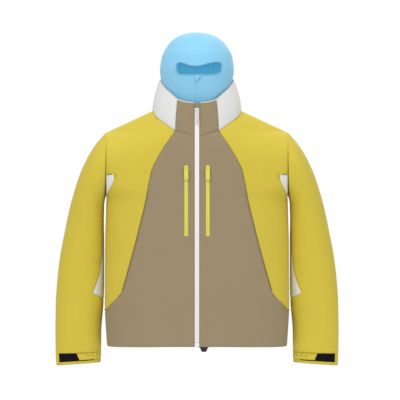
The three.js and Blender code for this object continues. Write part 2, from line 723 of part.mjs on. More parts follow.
const tape = { face: 0.6, thickness: 1.2, flangeFace: 2.7, flangeBack: 3.7, step: 1.0 };
const coil = { width: 2.7, back: 4.3 };
function tapeSection(halfOpening, flange) {
  const edge = halfOpening - fitGap;
  const web = tape.face + tape.thickness;
  return [
    [coilGap, tape.face],
    [edge, tape.face],
    [edge, tape.flangeFace],
    [flange, tape.flangeFace],
    [flange, tape.flangeBack],
    [edge - tape.step, tape.flangeBack],
    [edge - tape.step, web],
    [coilGap + coil.width, web],
    [coilGap + coil.width, coil.back],
    [coilGap, coil.back],
  ];
}
const mainFlange = 13.5;
const mainTape = rail(tapeSection(zipHalfWidth, mainFlange), zipBottom, zipTop);

function pocketZip() {
  const flange = 11;
  const half = solid(rail(tapeSection(pocketHalfWidth, flange), pocketBottom + fitGap, pocketTop - 5));
  const other = solid(mirrored(surfaceOf(half)));
  const bridge = (z0, z1) =>
    solid(box(-pocketHalfWidth + fitGap, pocketHalfWidth - fitGap, tape.face, tape.flangeBack, z0, z1));
  return surfaceOf(
    half
      .add(other)
      .add(bridge(pocketBottom + fitGap, pocketBottom + 6))
      .add(bridge(pocketTop - 6, pocketTop - 5)),
  );
}

// A slider: plates in front of and behind the tape, a thin web between the coils, ears and a pin for the pull.
const pinRadius = 0.7;
const pinDepth = -4.1;
const plate = { front: -1.6, frontBack: 0.2, back: 4.7, backBack: 5.8 };
function slider({ halfWidth: w, length, top }) {
  const bottom = top - length;
  const rounded = [
    [-w, bottom + 3],
    [-w + 2, bottom],
    [w - 2, bottom],
    [w, bottom + 3],
    [w, top - 2],
    [w - 1.5, top],
    [-w + 1.5, top],
    [-w, top - 2],
  ];
  const ear = (x0, x1) => solid(box(x0, x1, pinDepth - 1.4, plate.front + 0.2, top - 4.6, top - 0.8));
  const pin = new THREE.CylinderGeometry(pinRadius, pinRadius, 2 * w - 2, 12)
    .rotateZ(Math.PI / 2)
    .translate(0, pinDepth, top - 2.8);
  return surfaceOf(
    solid(frontPrism(rounded, plate.front, plate.frontBack))
      .add(solid(frontPrism(rounded, plate.back, plate.backBack)))
      .add(solid(box(-0.2, 0.2, plate.frontBack - 0.1, plate.back + 0.1, bottom + 2, top - 1)))
      .add(ear(w - 1.8, w - 0.6))
      .add(ear(0.6 - w, 1.8 - w))
      .add(solid(pin)),
  );
}

// A pull tab hanging from the pin, with a narrow neck between the ears.
function pull({ length, width, thickness }, { halfWidth: w, top }) {
  const axis = top - 2.8;
  const neck = w - 2.2;
  const end = axis - length + 3;
  const half = width / 2;
  const outline = [
    [-neck, axis - 6],
    [-half, axis - 10],
    [-half, end + 3],
    [-half + 2, end],
    [half - 2, end],
    [half, end + 3],
    [half, axis - 10],
    [neck, axis - 6],
    [neck, axis],
    [-neck, axis],
  ];
  const blade = solid(frontPrism(outline, pinDepth - thickness / 2, pinDepth + thickness / 2));
  const barrel = new THREE.CylinderGeometry(1.9, 1.9, 2 * neck, 16).rotateZ(Math.PI / 2).translate(0, pinDepth, axis);
  const hole = new THREE.CylinderGeometry(pinRadius + 0.35, pinRadius + 0.35, 4 * w, 12)
    .rotateZ(Math.PI / 2)
    .translate(0, pinDepth, axis);
  return surfaceOf(blade.add(solid(barrel)).subtract(solid(hole)));
}

const retainerBox = box(-zipHalfWidth + fitGap, zipHalfWidth - fitGap, -1.2, 4.6, 0.6, zipBottom - fitGap);
const garageHalfWidth = 8.5;
const zipGarage = box(-garageHalfWidth, garageHalfWidth, -2.2, -fitGap - 0.2, zipTop - 1, neckFrontZ + collarFrontHeight);
const stormFlap = rail(
  [
    [-13.5, 4.1],
    [-8.5, 4.1],
    [-8.5, 6.7],
    [20, 6.7],
    [20, 7.8],
    [-13.5, 7.8],
  ],
  lock.top + 5,
  neckFrontZ - 8,
);

// ================= hem drawcord and cord lock =================
const lockY = zipY(0) + lock.depth;
function lockBody() {
  const { x, halfWidth: w, halfDepth: d, bottom, top, wall } = lock;
  const outline = [
    [x - w + 4, bottom],
    [x + w - 4, bottom],
    [x + w, bottom + 7],
    [x + w, top - 3],
    [x + w - 3, top],
    [x - w + 3, top],
    [x - w, top - 3],
    [x - w, bottom + 7],
  ];
  const bore = new THREE.CylinderGeometry(button.radius + 0.3, button.radius + 0.3, top - wall - bottom + 10, 16)
    .rotateX(Math.PI / 2)
    .translate(x, lockY, (top - wall + bottom - 10) / 2);
  const hole = new THREE.CylinderGeometry(cordRadius + 0.5, cordRadius + 0.5, 60, 12)
    .rotateZ(Math.PI / 2)
    .translate(x, lockY, lockCordHeight);
  return surfaceOf(
    solid(frontPrism(outline, lockY - d, lockY + d))
      .subtract(solid(bore))
      .subtract(solid(hole)),
  );
}
function lockButton() {
  const stem = new THREE.CylinderGeometry(button.radius, button.radius, button.top - button.bottom, 16)
    .rotateX(Math.PI / 2)
    .translate(lock.x, lockY, (button.top + button.bottom) / 2);
  const cap = new THREE.CylinderGeometry(7.5, 5.2, 2.2, 16)
    .rotateX(Math.PI / 2)
    .scale(1, 0.76, 1)
    .translate(lock.x, lockY, button.bottom + 1.1);
  const slot = frontOutlineAlongX(cordRadius + 0.5, button.travel);
  return surfaceOf(solid(stem).add(solid(cap)).subtract(solid(slot)));
}
// The button's hole is longer than the cord is thick, so that the button can travel.
function frontOutlineAlongX(radius, travel) {
  const shape = new THREE.Shape();
  shape.absarc(0, 0, radius, 0, Math.PI, false);
  shape.absarc(0, -travel, radius, Math.PI, 2 * Math.PI, false);
  return new THREE.ExtrudeGeometry(shape, { depth: 40, bevelEnabled: false, curveSegments: 5 })
    .rotateX(Math.PI / 2)
    .rotateZ(Math.PI / 2)
    .translate(lock.x - 20, lockY, lockCordHeight);
}

class Helix extends THREE.Curve {
  constructor(radius, height, turns) {
    super();
    Object.assign(this, { radius, height, turns });
  }
  getPoint(t, target = new THREE.Vector3()) {
    const angle = t * this.turns * 2 * Math.PI;
    return target.set(this.radius * Math.cos(angle), this.radius * Math.sin(angle), t * this.height);
  }
}
const springRoom = { low: button.top + 0.8, high: lock.top - lock.wall - 0.8 };
function tube(curve, radius, sides, steps) {
  const circle = new THREE.Shape();
  circle.absarc(0, 0, radius, 0, 2 * Math.PI, false);
  const points = circle.getPoints(sides / 2).slice(0, -1);
  const section = new THREE.Shape(points);
  return new THREE.ExtrudeGeometry(section, { steps, bevelEnabled: false, extrudePath: curve });
}
const lockSpring = tube(new Helix(3, springRoom.high - springRoom.low, 3), 0.45, 6, 27).translate(
  lock.x,
  lockY,
  springRoom.low,
);

// The drawcord runs in the hem's tunnel, from its end by the zip right round to the lock.
function cordRoute() {
  const { x, halfWidth: w } = lock;
  const ring = hemRing(cordHeight, cordDepth);
  const straight = [x - w - 4, x, x + w + 1, x + w + 4].map((at) => point(at, lockY, lockCordHeight));
  const rise = [0.3, 0.65].map((t) => point(0, 0, 0).lerpVectors(straight.at(-1), ring[0], t));
  return [...straight, ...rise, ...ring.slice(0, -1), ring.at(-1).lerp(ring.at(-2), 0.2)];
}
// A path whose rings stand at its own points, so that a tube follows the same facets as the cloth.
class FacetedPath extends THREE.CatmullRomCurve3 {
  getPointAt(u, target) {
    return this.getPoint(u, target);
  }
  getTangentAt(u, target) {
    return this.getTangent(u, target);
  }
}
const route = cordRoute();
const hemCord = tube(new FacetedPath(route, false, "centripetal"), cordRadius, 6, route.length - 1);

// ================= hood =================
// Levels of the hood: [height above the neck point, half width, front, back].
const hoodLevels = [
  [-42, 84, -84, 46],
  [-2, 87, -91, 48],
  [28, 92, -98, 54],
  [58, 98, -105, 66],
  [86, 103, -110, 79],
  [118, 107.5, -113, 94],
  [157, 102.5, -107, 104],
  [188, 87, -91, 99],
  [209, 67.5, -69, 84],
  [222, 42, -42, 60],
  [227.5, 18, -16, 34],
  [228.6, 0, 8, 8],
];
const HOOD_SIDES = 20;
const crownStart = 150;
function hoodRows(depth) {
  return hoodLevels.map(([height, w, front, back]) => {
    const half = Math.max((back - front) / 2 - depth, 0);
    const across = Math.max(w - depth, 0);
    const z = neckZ + height - depth * smoothstep(height, crownStart, hoodLevels.at(-1)[0]);
    return Array.from({ length: HOOD_SIDES }, (_, j) => {
      const angle = -Math.PI / 2 + (j * 2 * Math.PI) / HOOD_SIDES;
      return point(across * Math.cos(angle), (front + back) / 2 + half * Math.sin(angle), z);
    });
  });
}
const eyeSlot = new THREE.Shape();
const eye = { halfWidth: 66, low: neckZ + 102, high: neckZ + 138, dip: 9 };
eyeSlot.moveTo(-eye.halfWidth + 14, eye.low);
eyeSlot.lineTo(eye.halfWidth - 14, eye.low);
eyeSlot.quadraticCurveTo(eye.halfWidth, eye.low + 2, eye.halfWidth, eye.low + 18);
eyeSlot.quadraticCurveTo(eye.halfWidth, eye.high, eye.halfWidth - 14, eye.high);
eyeSlot.bezierCurveTo(30, eye.high - 3, 22, eye.high - eye.dip, 0, eye.high - eye.dip);
eyeSlot.bezierCurveTo(-22, eye.high - eye.dip, -30, eye.high - 3, 14 - eye.halfWidth, eye.high);
eyeSlot.quadraticCurveTo(-eye.halfWidth, eye.high, -eye.halfWidth, eye.low + 18);
eyeSlot.quadraticCurveTo(-eye.halfWidth, eye.low + 2, 14 - eye.halfWidth, eye.low);
const eyeOutline = eyeSlot.getPoints(4).map((p) => [p.x, p.y]);
const hoodTop = neckZ + 260;
const hoodLow = neckZ - 60;
const backSplit = [
  box(hoodSplitX - seamGap / 2, hoodSplitX + seamGap / 2, 8, 200, hoodLow, hoodTop),
  box(-hoodSplitX - seamGap / 2, seamGap / 2 - hoodSplitX, 8, 200, hoodLow, hoodTop),
  box(-hoodSplitX - seamGap / 2, hoodSplitX + seamGap / 2, 8 - seamGap / 2, 8 + seamGap / 2, neckZ + 120, hoodTop),
];
const maskSlit = box(maskSeamX - seamGap / 2, maskSeamX + seamGap / 2, -200, -40, hoodLow, eye.low + 5);
const hoodCuts = [frontPrism(eyeOutline, -200, -30), maskSlit, ...backSplit];
const hoodPieces = pieces(
  hoodCuts.reduce((left, cut) => left.subtract(solid(cut)), solid(sheet(hoodRows(0), hoodRows(hoodThickness), true))),
  (at) => at.max[0],
);

// The small folded corner at the top of the mask's seam.
const hoodAt = (column) => smooth(hoodLevels.slice(0, 8).map((row) => [neckZ + row[0], row[column]]));
function hoodFront(x, z, depth) {
  const [w, front, back] = [1, 2, 3].map((column) => hoodAt(column)(z));
  const half = (back - front) / 2 - depth;
  return (front + back) / 2 - half * Math.sqrt(Math.max(0, 1 - (x / (w - depth)) ** 2));
}
function flapRows(depth) {
  return [
    [eye.low - 22, -1.2, 0.8],
    [eye.low - 11, -1, 8],
    [eye.low - 0.5, -1, 17],
  ].map(([z, from, to]) =>
    [0, 0.33, 0.67, 1].map((t) => {
      const x = maskSeamX + lerp(from, to, t);
      return point(x, hoodFront(x, z, depth), z);
    }),
  );
}
const maskFlap = sheet(flapRows(-1.9), flapRows(-0.7));

// The room taken by the collar and its facing, and a little more, for cutting what touches the facing.
const collarRoom = sheet(collarRows(-40, facingShape), collarRows(facingDepth + liningThickness + 0.75, facingShape));

// Two straps with press studs hold the hood's neck to the collar's facing.
function hoodStrap() {
  const z = neckZ + 18;
  const strap = box(hoodLevels[0][1] - 20, neckHalfWidth + 20, -18, -2, z - 0.9, z + 0.9);
  return surfaceOf(
    solid(strap)
      .subtract(solid(sheet(hoodRows(-fitGap), hoodRows(60), true)))
      .subtract(solid(collarRoom)),
  );
}

// ================= hanger loop =================
const loopBase = neckBackZ + 8;
const loopTopZ = loopBase + loop.rise;
function hangerLoop() {
  const { halfSpan, legHalfSpan, thickness: t, width, y } = loop;
  const outline = [
    [-legHalfSpan, loopBase],
    [-legHalfSpan + t, loopBase],
    [-halfSpan, loopTopZ],
    [halfSpan, loopTopZ],
    [legHalfSpan - t, loopBase],
    [legHalfSpan, loopBase],
    [halfSpan + 0.6, loopTopZ + t],
    [-halfSpan - 0.6, loopTopZ + t],
  ];
  const tackedEnd = (side) =>
    solid(
      box(side * legHalfSpan - 6, side * legHalfSpan + 6, y - width / 2, y + 40, loopBase - 1.5, loopBase + t),
    ).subtract(solid(collarRoom));
  return surfaceOf(
    solid(frontPrism(outline, y - width / 2, y + width / 2))
      .add(tackedEnd(1))
      .add(tackedEnd(-1)),
  );
}

// ================= assembly =================
const jacket = new THREE.Group();
jacket.position.set(0, -loop.y, -loopTopZ); // brings the loop's bearing face to the origin

function add(name, geometry, material) {
  const mesh = new THREE.Mesh(geometry, material);
  mesh.name = name;
  jacket.add(mesh);
}
function addPair(name, geometry, material) {
  add(name + "_left", geometry, material);
  add(name + "_right", mirrored(geometry), material);
}

addPair("front_panel", frontPieces[0], taupe);
addPair("side_panel", frontPieces[1], mustard);
addPair("underarm_gusset", frontPieces[2], offWhite);
add("back_side_panel_right", backPieces[0], mustard);
add("back_panel", backPieces[1], taupe);
add("back_side_panel_left", backPieces[2], mustard);
addPair("front_lining", frontLining, greyLining);
add("back_lining", backLining, greyLining);
addPair("chest_pocket_bag", chestBag, greyLining);
addPair("hand_pocket_bag", handBag, greyLining);
add("hem_facing", hemFacing, taupe);

const collarNames = ["collar_side_right", "collar_front_right", "collar_back", "collar_front_left", "collar_side_left"];
const collarCloth = [offWhite, taupe, offWhite, taupe, offWhite];
collarNames.forEach((name, i) => add(name, collarPieces[i], collarCloth[i]));
add("collar_facing", collarFacing, offWhite);

addPair("upper_sleeve", upperSleeve, mustard);
addPair("lower_sleeve", sleevePieces[1], mustard);
addPair("sleeve_gusset", sleevePieces[0], offWhite);
addPair("sleeve_lining", sleeveLining, greyLining);
addPair("cuff_loop_patch", cuffPatch, blackPile);
addPair("cuff_hook_pad", hookPad, blackPile);
addPair("cuff_tab", cuffTab, mustard);

addPair("main_zip_tape", placed(mainTape, 0, mainFront), whiteZip);
add("main_zip_slider", placed(slider(zipSlider), 0, mainFront), whiteZip);
add("main_zip_pull", placed(pull(zipPull, zipSlider), 0, mainFront), whiteZip);
add("main_zip_retainer_box", placed(retainerBox, 0, mainFront), whiteZip);
add("zip_garage", placed(zipGarage, 0, mainFront), taupe);
add("storm_flap", placed(stormFlap, 0, mainFront), taupe);
addPair("pocket_zip", placed(pocketZip(), pocketX, pocketFront), limeZip);
addPair("pocket_slider", placed(slider(pocketSlider), pocketX, pocketFront), limeZip);
addPair("pocket_pull", placed(pull(pocketPull, pocketSlider), pocketX, pocketFront), limeZip);

add("hem_drawcord", hemCord, blackPile);
add("cord_lock_body", lockBody(), blackPlastic);
add("cord_lock_button", lockButton(), blackPlastic);
add("cord_lock_spring", lockSpring, springSteel);

add("hood_back_panel", hoodPieces[0], skyBlue);
add("hood_shell", hoodPieces[1], skyBlue);
add("mask_flap", maskFlap, skyBlue);
addPair("hood_strap", hoodStrap(), skyBlue);
add("hanger_loop", hangerLoop(), blackPile);

export default jacket;
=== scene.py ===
import json
from math import acos, asin, atan2, cos, hypot, pi, radians, sin, sqrt
import bpy
import numpy as np
from mathutils import Matrix, Vector


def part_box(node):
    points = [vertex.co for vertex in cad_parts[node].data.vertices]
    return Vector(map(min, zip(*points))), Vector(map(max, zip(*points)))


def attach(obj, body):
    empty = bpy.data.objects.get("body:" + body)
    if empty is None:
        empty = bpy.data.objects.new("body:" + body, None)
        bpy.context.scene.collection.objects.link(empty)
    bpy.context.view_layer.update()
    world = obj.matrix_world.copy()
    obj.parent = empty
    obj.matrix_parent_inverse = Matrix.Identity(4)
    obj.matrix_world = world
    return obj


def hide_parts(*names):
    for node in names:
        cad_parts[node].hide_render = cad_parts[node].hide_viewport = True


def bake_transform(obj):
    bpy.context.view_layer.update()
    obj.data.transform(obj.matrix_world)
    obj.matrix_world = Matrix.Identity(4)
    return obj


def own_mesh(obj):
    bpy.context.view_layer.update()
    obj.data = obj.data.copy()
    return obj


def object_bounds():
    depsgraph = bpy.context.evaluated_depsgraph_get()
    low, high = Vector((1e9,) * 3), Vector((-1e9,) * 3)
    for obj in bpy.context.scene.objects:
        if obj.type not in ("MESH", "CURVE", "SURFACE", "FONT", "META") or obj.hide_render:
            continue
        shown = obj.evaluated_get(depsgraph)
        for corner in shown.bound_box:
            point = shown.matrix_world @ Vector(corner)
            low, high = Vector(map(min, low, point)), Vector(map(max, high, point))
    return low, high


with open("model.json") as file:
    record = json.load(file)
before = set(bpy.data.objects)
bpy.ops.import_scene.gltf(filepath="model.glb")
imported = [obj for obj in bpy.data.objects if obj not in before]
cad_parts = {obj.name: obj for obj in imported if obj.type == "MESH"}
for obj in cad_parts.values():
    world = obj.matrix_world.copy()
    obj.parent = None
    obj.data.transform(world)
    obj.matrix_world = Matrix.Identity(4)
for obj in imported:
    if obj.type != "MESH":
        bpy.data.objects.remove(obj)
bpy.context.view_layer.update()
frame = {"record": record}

# The cut is drawn in millimetres, with height measured up from the hem and depth from the body's middle.
# place() takes that to the frame, whose origin is under the hanger loop.
middleDepth = frame["record"]["behaviour"]["joints"][0]["pos_m"][1] * 1000
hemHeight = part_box("front_panel_left")[0].z * 1000


def place(x, y, z):
    return Vector((x, y + middleDepth, z + hemHeight)) / 1000


# Shader maths: sockets that add, subtract and compare like numbers.
class Wire:
    def __init__(self, shade, socket):
        self.shade = shade
        self.socket = socket

    def mathNode(self, operation, first, second=None):
        inputs = {0: first} if second is None else {0: first, 1: second}
        return self.shade.add("ShaderNodeMath", {"operation": operation}, inputs)

    def __add__(self, other):
        return self.mathNode("ADD", self, other)

    def __radd__(self, other):
        return self.mathNode("ADD", other, self)

    def __sub__(self, other):
        return self.mathNode("SUBTRACT", self, other)

    def __rsub__(self, other):
        return self.mathNode("SUBTRACT", other, self)

    def __mul__(self, other):
        return self.mathNode("MULTIPLY", self, other)

    def __rmul__(self, other):
        return self.mathNode("MULTIPLY", other, self)

    def __lt__(self, other):
        return self.mathNode("LESS_THAN", self, other)

    def __mod__(self, other):
        return self.mathNode("FLOORED_MODULO", self, other)

    def __abs__(self):
        return self.mathNode("ABSOLUTE", self)

    def wave(self):
        return self.mathNode("SINE", self)


class Shade:
    def __init__(self, name):
        self.material = bpy.data.materials.new(name)
        self.material.use_nodes = True
        self.tree = self.material.node_tree
        self.shader = self.tree.nodes["Principled BSDF"]

    def add(self, kind, settings, inputs, output=0):
        node = self.tree.nodes.new(kind)
        for key, value in settings.items():
            setattr(node, key, value)
        for key, value in inputs.items():
            self.join(node.inputs[key], value)
        return Wire(self, node.outputs[output])

    def join(self, socket, value):
        if isinstance(value, Wire):
            self.tree.links.new(value.socket, socket)
        elif hasattr(value, "__len__") and len(value) == 3 and socket.type == "RGBA":
            socket.default_value = (*value, 1)
        else:
            socket.default_value = value

    def set(self, **values):
        for key, value in values.items():
            self.join(self.shader.inputs[key.replace("_", " ")], value)

    def place(self):
        return self.add("ShaderNodeTexCoord", {}, {}, "Object")

    def split(self, vector):
        return [self.add("ShaderNodeSeparateXYZ", {}, {0: vector}, axis) for axis in range(3)]

    def uv(self, name):
        return self.split(self.add("ShaderNodeUVMap", {"uv_map": name}, {}))[:2]

    def noise(self, where, scale, detail=3.0, roughness=0.55):
        return self.add("ShaderNodeTexNoise", {}, {"Vector": where, "Scale": scale, "Detail": detail,
                                                   "Roughness": roughness})

    def mix(self, factor, first, second):
        return self.add("ShaderNodeMix", {"data_type": "RGBA"}, {0: factor, 6: first, 7: second}, 2)

    def range(self, value, fromLow, fromHigh, toLow, toHigh):
        return self.add("ShaderNodeMapRange", {}, {"Value": value, "From Min": fromLow,
                                                   "From Max": fromHigh, "To Min": toLow, "To Max": toHigh})

    def bump(self, height, strength, distance):
        return self.add("ShaderNodeBump", {}, {"Height": height, "Strength": strength,
                                               "Distance": distance})


def darker(colour, share):
    return tuple(c * share for c in colour)


# Lengths on the "cut" map are in metres, and on the "seam" map in millimetres from the nearest edge.
weave = {"depth": 0.25, "stitchIn": 2.3, "stitchWidth": 0.42, "stitchPitch": 3.2, "stitchLength": 2.3,
         "paintedSeamShade": 4.0, "driftScale": 9, "fleckScale": 420, "bump": 0.35, "bumpDepth": 0.0004}


# Woven cloth: two crossing sets of threads, a slow colour drift, painted shade darkening the cloth towards
# each seam and a row of stitches beside it.
def wovenCloth(name, colour, thread=1.3, roughness=0.82, stitch=True, sheen=0.15):
    shade = Shade(name)
    across, along = shade.uv("cut")
    fromEdge, alongSeam = shade.uv("seam")
    where = shade.place()
    turn = 2 * pi * 1000 / thread
    threads = (across * turn).wave() * (along * turn).wave()
    fleck = shade.noise(where, weave["fleckScale"], 2)
    # Painted shade: darkens the cloth within a few millimetres of each seam, standing in for the shadow in
    # its groove.
    paintedSeamShade = shade.range(fromEdge, 0.0, weave["paintedSeamShade"], 1.0, 0.0)
    base = shade.mix(shade.noise(where, weave["driftScale"], 4), darker(colour, 0.94), darker(colour, 1.04))
    base = shade.mix(shade.range(fleck, 0.35, 0.7, 0.0, 0.35), base, darker(colour, 0.86))
    base = shade.mix(shade.range(threads, -1, 1, 0.16, 0.0), base, darker(colour, 0.7))
    base = shade.mix(paintedSeamShade * paintedSeamShade * 0.18, base, darker(colour, 0.4))
    height = threads * weave["depth"] + fleck * 0.5
    if stitch:
        row = abs(fromEdge - weave["stitchIn"]) < weave["stitchWidth"]
        stitches = row * ((alongSeam % weave["stitchPitch"]) < weave["stitchLength"])
        base = shade.mix(stitches * 0.55, base, darker(colour, 0.62))
        height = height + stitches * 1.6 - row * 0.9
    shade.set(Base_Color=base, Normal=shade.bump(height, weave["bump"], weave["bumpDepth"]),
              Roughness=shade.range(fleck, 0.3, 0.7, roughness - 0.07, roughness + 0.07))
    shade.shader.inputs["Sheen Weight"].default_value = sheen
    shade.shader.inputs["Sheen Roughness"].default_value = 0.5
    return shade.material


knit = {"rib": 1.6, "loop": 2.2, "stitchIn": 2.0, "stitchWidth": 0.4, "stitchPitch": 2.8,
        "stitchLength": 2.0, "paintedSeamShade": 5.0, "bump": 0.3, "bumpDepth": 0.0003}


# Smooth stretch knit for the hood: fine vertical ribs, soft mottling and painted shade towards each seam.
def stretchKnit(name, colour, depth=0.3):
    shade = Shade(name)
    across, along = shade.uv("cut")
    fromEdge, alongSeam = shade.uv("seam")
    where = shade.place()
    rib = (across * (2 * pi * 1000 / knit["rib"])).wave()
    loops = (along * (2 * pi * 1000 / knit["loop"])).wave()
    fuzz = shade.noise(where, 600, 2)
    base = shade.mix(shade.noise(where, 7, 3), darker(colour, 0.95), darker(colour, 1.03))
    base = shade.mix(shade.range(rib * loops, -1, 1, 0.12, 0.0), base, darker(colour, 0.75))
    row = abs(fromEdge - knit["stitchIn"]) < knit["stitchWidth"]
    dash = (alongSeam % knit["stitchPitch"]) < knit["stitchLength"]
    base = shade.mix(row * dash * 0.4, base, darker(colour, 0.7))
    # Painted shade: darkens the knit close to each seam and edge, standing in for the shadow in the seam's
    # groove.
    paintedSeamShade = shade.range(fromEdge, 0.0, knit["paintedSeamShade"], 1.0, 0.0)
    base = shade.mix(paintedSeamShade * paintedSeamShade * 0.25, base, darker(colour, 0.45))
    height = rib * depth + loops * depth * 0.5 + fuzz * 0.4
    shade.set(Base_Color=base, Roughness=shade.range(fuzz, 0.3, 0.7, 0.66, 0.8),
              Normal=shade.bump(height, knit["bump"], knit["bumpDepth"]))
    shade.shader.inputs["Sheen Weight"].default_value = 0.2
    return shade.material


# Anything without a cut of its own: moulded plastic, wire and pile.
def plainFinish(name, colour, roughness, grain, strength, metal=0.0, coat=0.0, specular=0.5):
    shade = Shade(name)
    where = shade.place()
    speck = shade.noise(where, grain, 3, 0.6)
    base = shade.mix(shade.noise(where, 60, 3), darker(colour, 0.9), darker(colour, 1.06))
    base = shade.mix(shade.range(speck, 0.3, 0.75, 0.0, 0.4), base, darker(colour, 0.75))
    shade.set(Base_Color=base, Normal=shade.bump(speck, strength, 0.0003),
              Roughness=shade.range(speck, 0.3, 0.7, roughness - 0.06, roughness + 0.06))
    shade.set(Metallic=metal, Coat_Weight=coat)
    shade.shader.inputs["Specular IOR Level"].default_value = specular
    return shade.material


# Zip tape and webbing, woven in a herringbone.
def tapeWeave(name, colour, pitch=0.9, roughness=0.6):
    shade = Shade(name)
    where = shade.place()
    x, _, z = shade.split(where)
    turn = 2 * pi * 1000 / pitch
    twill = ((abs(x) + z) * turn).wave()
    ribs = (x * turn * 0.5).wave()
    speck = shade.noise(where, 500, 2)
    base = shade.mix(shade.range(twill, -1, 1, 0.10, 0.0), colour, darker(colour, 0.78))
    base = shade.mix(shade.range(speck, 0.3, 0.7, 0.0, 0.12), base, darker(colour, 0.8))
    shade.set(Base_Color=base, Normal=shade.bump(twill * 0.5 + ribs * 0.3 + speck * 0.3, 0.3, 0.0003),
              Roughness=shade.range(speck, 0.3, 0.7, roughness - 0.06, roughness + 0.06))
    return shade.material


colours = {
    "taupe": (0.362, 0.278, 0.160),
    "mustard": (0.745, 0.592, 0.052),
    "white": (0.87, 0.875, 0.86),
    "blue": (0.275, 0.665, 0.94),
    "lining": (0.25, 0.245, 0.235),
    "black": (0.008, 0.008, 0.009),
    "zipWhite": (0.99, 0.99, 0.985),
    "lime": (0.84, 0.82, 0.095),
    "steel": (0.6, 0.61, 0.63),
}
cloth = {
    "taupe": wovenCloth("taupe face cloth", colours["taupe"]),
    "mustard": wovenCloth("mustard face cloth", colours["mustard"], sheen=0.08),
    "white": wovenCloth("white face cloth", colours["white"], sheen=0.05),
    "cream": wovenCloth("cream collar lining", (0.80, 0.78, 0.70), thread=1.0, stitch=False, sheen=0.3),
    "lining": wovenCloth("grey lining cloth", colours["lining"], thread=0.9, roughness=0.6, stitch=False,
                         sheen=0.0),
    "blue": stretchKnit("blue stretch knit", colours["blue"]),
    # Painted shade: the eye slot's binding and the hood's seam cords use the hood's blue made darker, for
    # the shade along rolled edges and seams.
    "binding": stretchKnit("blue binding with painted shade", darker(colours["blue"], 0.94), depth=0.2),
    "pile": plainFinish("black loop pile", colours["black"], 0.95, 1500, 1.0, specular=0.12),
    "plastic": plainFinish("black moulded plastic", (0.012, 0.012, 0.013), 0.42, 900, 0.15, coat=0.1),
    "steel": plainFinish("bright spring wire", colours["steel"], 0.28, 700, 0.1, metal=1.0),
    "whiteTape": tapeWeave("white zip tape", colours["zipWhite"]),
    "limeTape": tapeWeave("lime zip tape", colours["lime"]),
    "whitePlastic": plainFinish("white moulded zip", colours["zipWhite"], 0.42, 800, 0.12, coat=0.15),
    "limePlastic": plainFinish("lime moulded zip", colours["lime"], 0.42, 800, 0.12, coat=0.15),
    # The pull's warm tone is its own; its extra darkness is painted shade that sets it apart from the tape.
    "warmShadedPlastic": plainFinish("warm white pull with painted shade", (0.80, 0.77, 0.71), 0.45, 800, 0.12, coat=0.1),
    "webbing": tapeWeave("black webbing", (0.02, 0.02, 0.021), pitch=1.1, roughness=0.8),
}
print("materials ready")


# Small tools for curves, selections and cut cloth.
def lerp(a, b, t):
    return a + (b - a) * t


def clamp(value, low=0.0, high=1.0):
    return max(low, min(high, value))


def smoothstep(value, low, high):
    t = clamp((value - low) / (high - low))
    return t * t * (3 - 2 * t)


# A smooth curve through given stops, with no overshoot between them.
def smooth(stops):
    x = [s[0] for s in stops]
    y = [s[1] for s in stops]
    last = len(x) - 1
    slope = [(y[i + 1] - y[i]) / (x[i + 1] - x[i]) for i in range(last)]
    tangent = [slope[0]]
    for i in range(1, last):
        a, b = slope[i - 1], slope[i]
        tangent.append(0 if a * b <= 0 else 2 * a * b / (a + b))
    tangent.append(slope[-1])

    def curve(at):
        if at <= x[0]:
            return y[0]
        if at >= x[last]:
            return y[last]
        i = max(k for k in range(last) if at > x[k])
        width = x[i + 1] - x[i]
        t = (at - x[i]) / width
        rise = t * t * (3 - 2 * t)
        bend = tangent[i] * t * (1 - t) ** 2 - tangent[i + 1] * t * t * (1 - t)
        return y[i] * (1 - rise) + y[i + 1] * rise + width * bend
    return curve


def straight(stops):
    x = [s[0] for s in stops]
    y = [s[1] for s in stops]
    return lambda at: float(np.interp(at, x, y))


def clearSelection():
    if bpy.context.object and bpy.context.object.mode != "OBJECT":
        bpy.ops.object.mode_set(mode="OBJECT")
    bpy.ops.object.select_all(action="DESELECT")


def choose(piece):
    clearSelection()
    piece.select_set(True)
    bpy.context.view_layer.objects.active = piece


def settle():
    bpy.ops.object.transform_apply(location=True, rotation=True, scale=True)
    return bpy.context.object


def roundEdges(offset, segments):
    bpy.ops.object.mode_set(mode="EDIT")
    bpy.ops.mesh.select_all(action="SELECT")
    bpy.ops.mesh.bevel(offset=offset, segments=segments, affect="EDGES")
    bpy.ops.object.mode_set(mode="OBJECT")


def applyAll(piece):
    choose(piece)
    for modifier in list(piece.modifiers):
        bpy.ops.object.modifier_apply(modifier=modifier.name)


def finish(piece, name, finishName, body, replaces=()):
    choose(piece)
    piece.name = name
    piece.data.name = name
    settle()
    bpy.ops.object.shade_smooth_by_angle(angle=radians(40))
    piece.data.materials.clear()
    piece.data.materials.append(cloth[finishName])
    if replaces:
        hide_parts(*replaces)
    if body:
        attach(piece, body)
    return piece


def mirroredCopy(piece, name):
    copy = piece.copy()
    copy.data = piece.data.copy()
    copy.name = name
    copy.data.name = name
    bpy.context.scene.collection.objects.link(copy)
    choose(copy)
    copy.data.transform(Matrix.Scale(-1, 4, (1, 0, 0)))
    copy.data.flip_normals()
    return copy


# Spacing from 0 to 1 in so many steps, closer together at both ends.
def crowded(steps, ends=0.8):
    return [i / steps - ends * sin(2 * pi * i / steps) / (2 * pi) for i in range(steps + 1)]


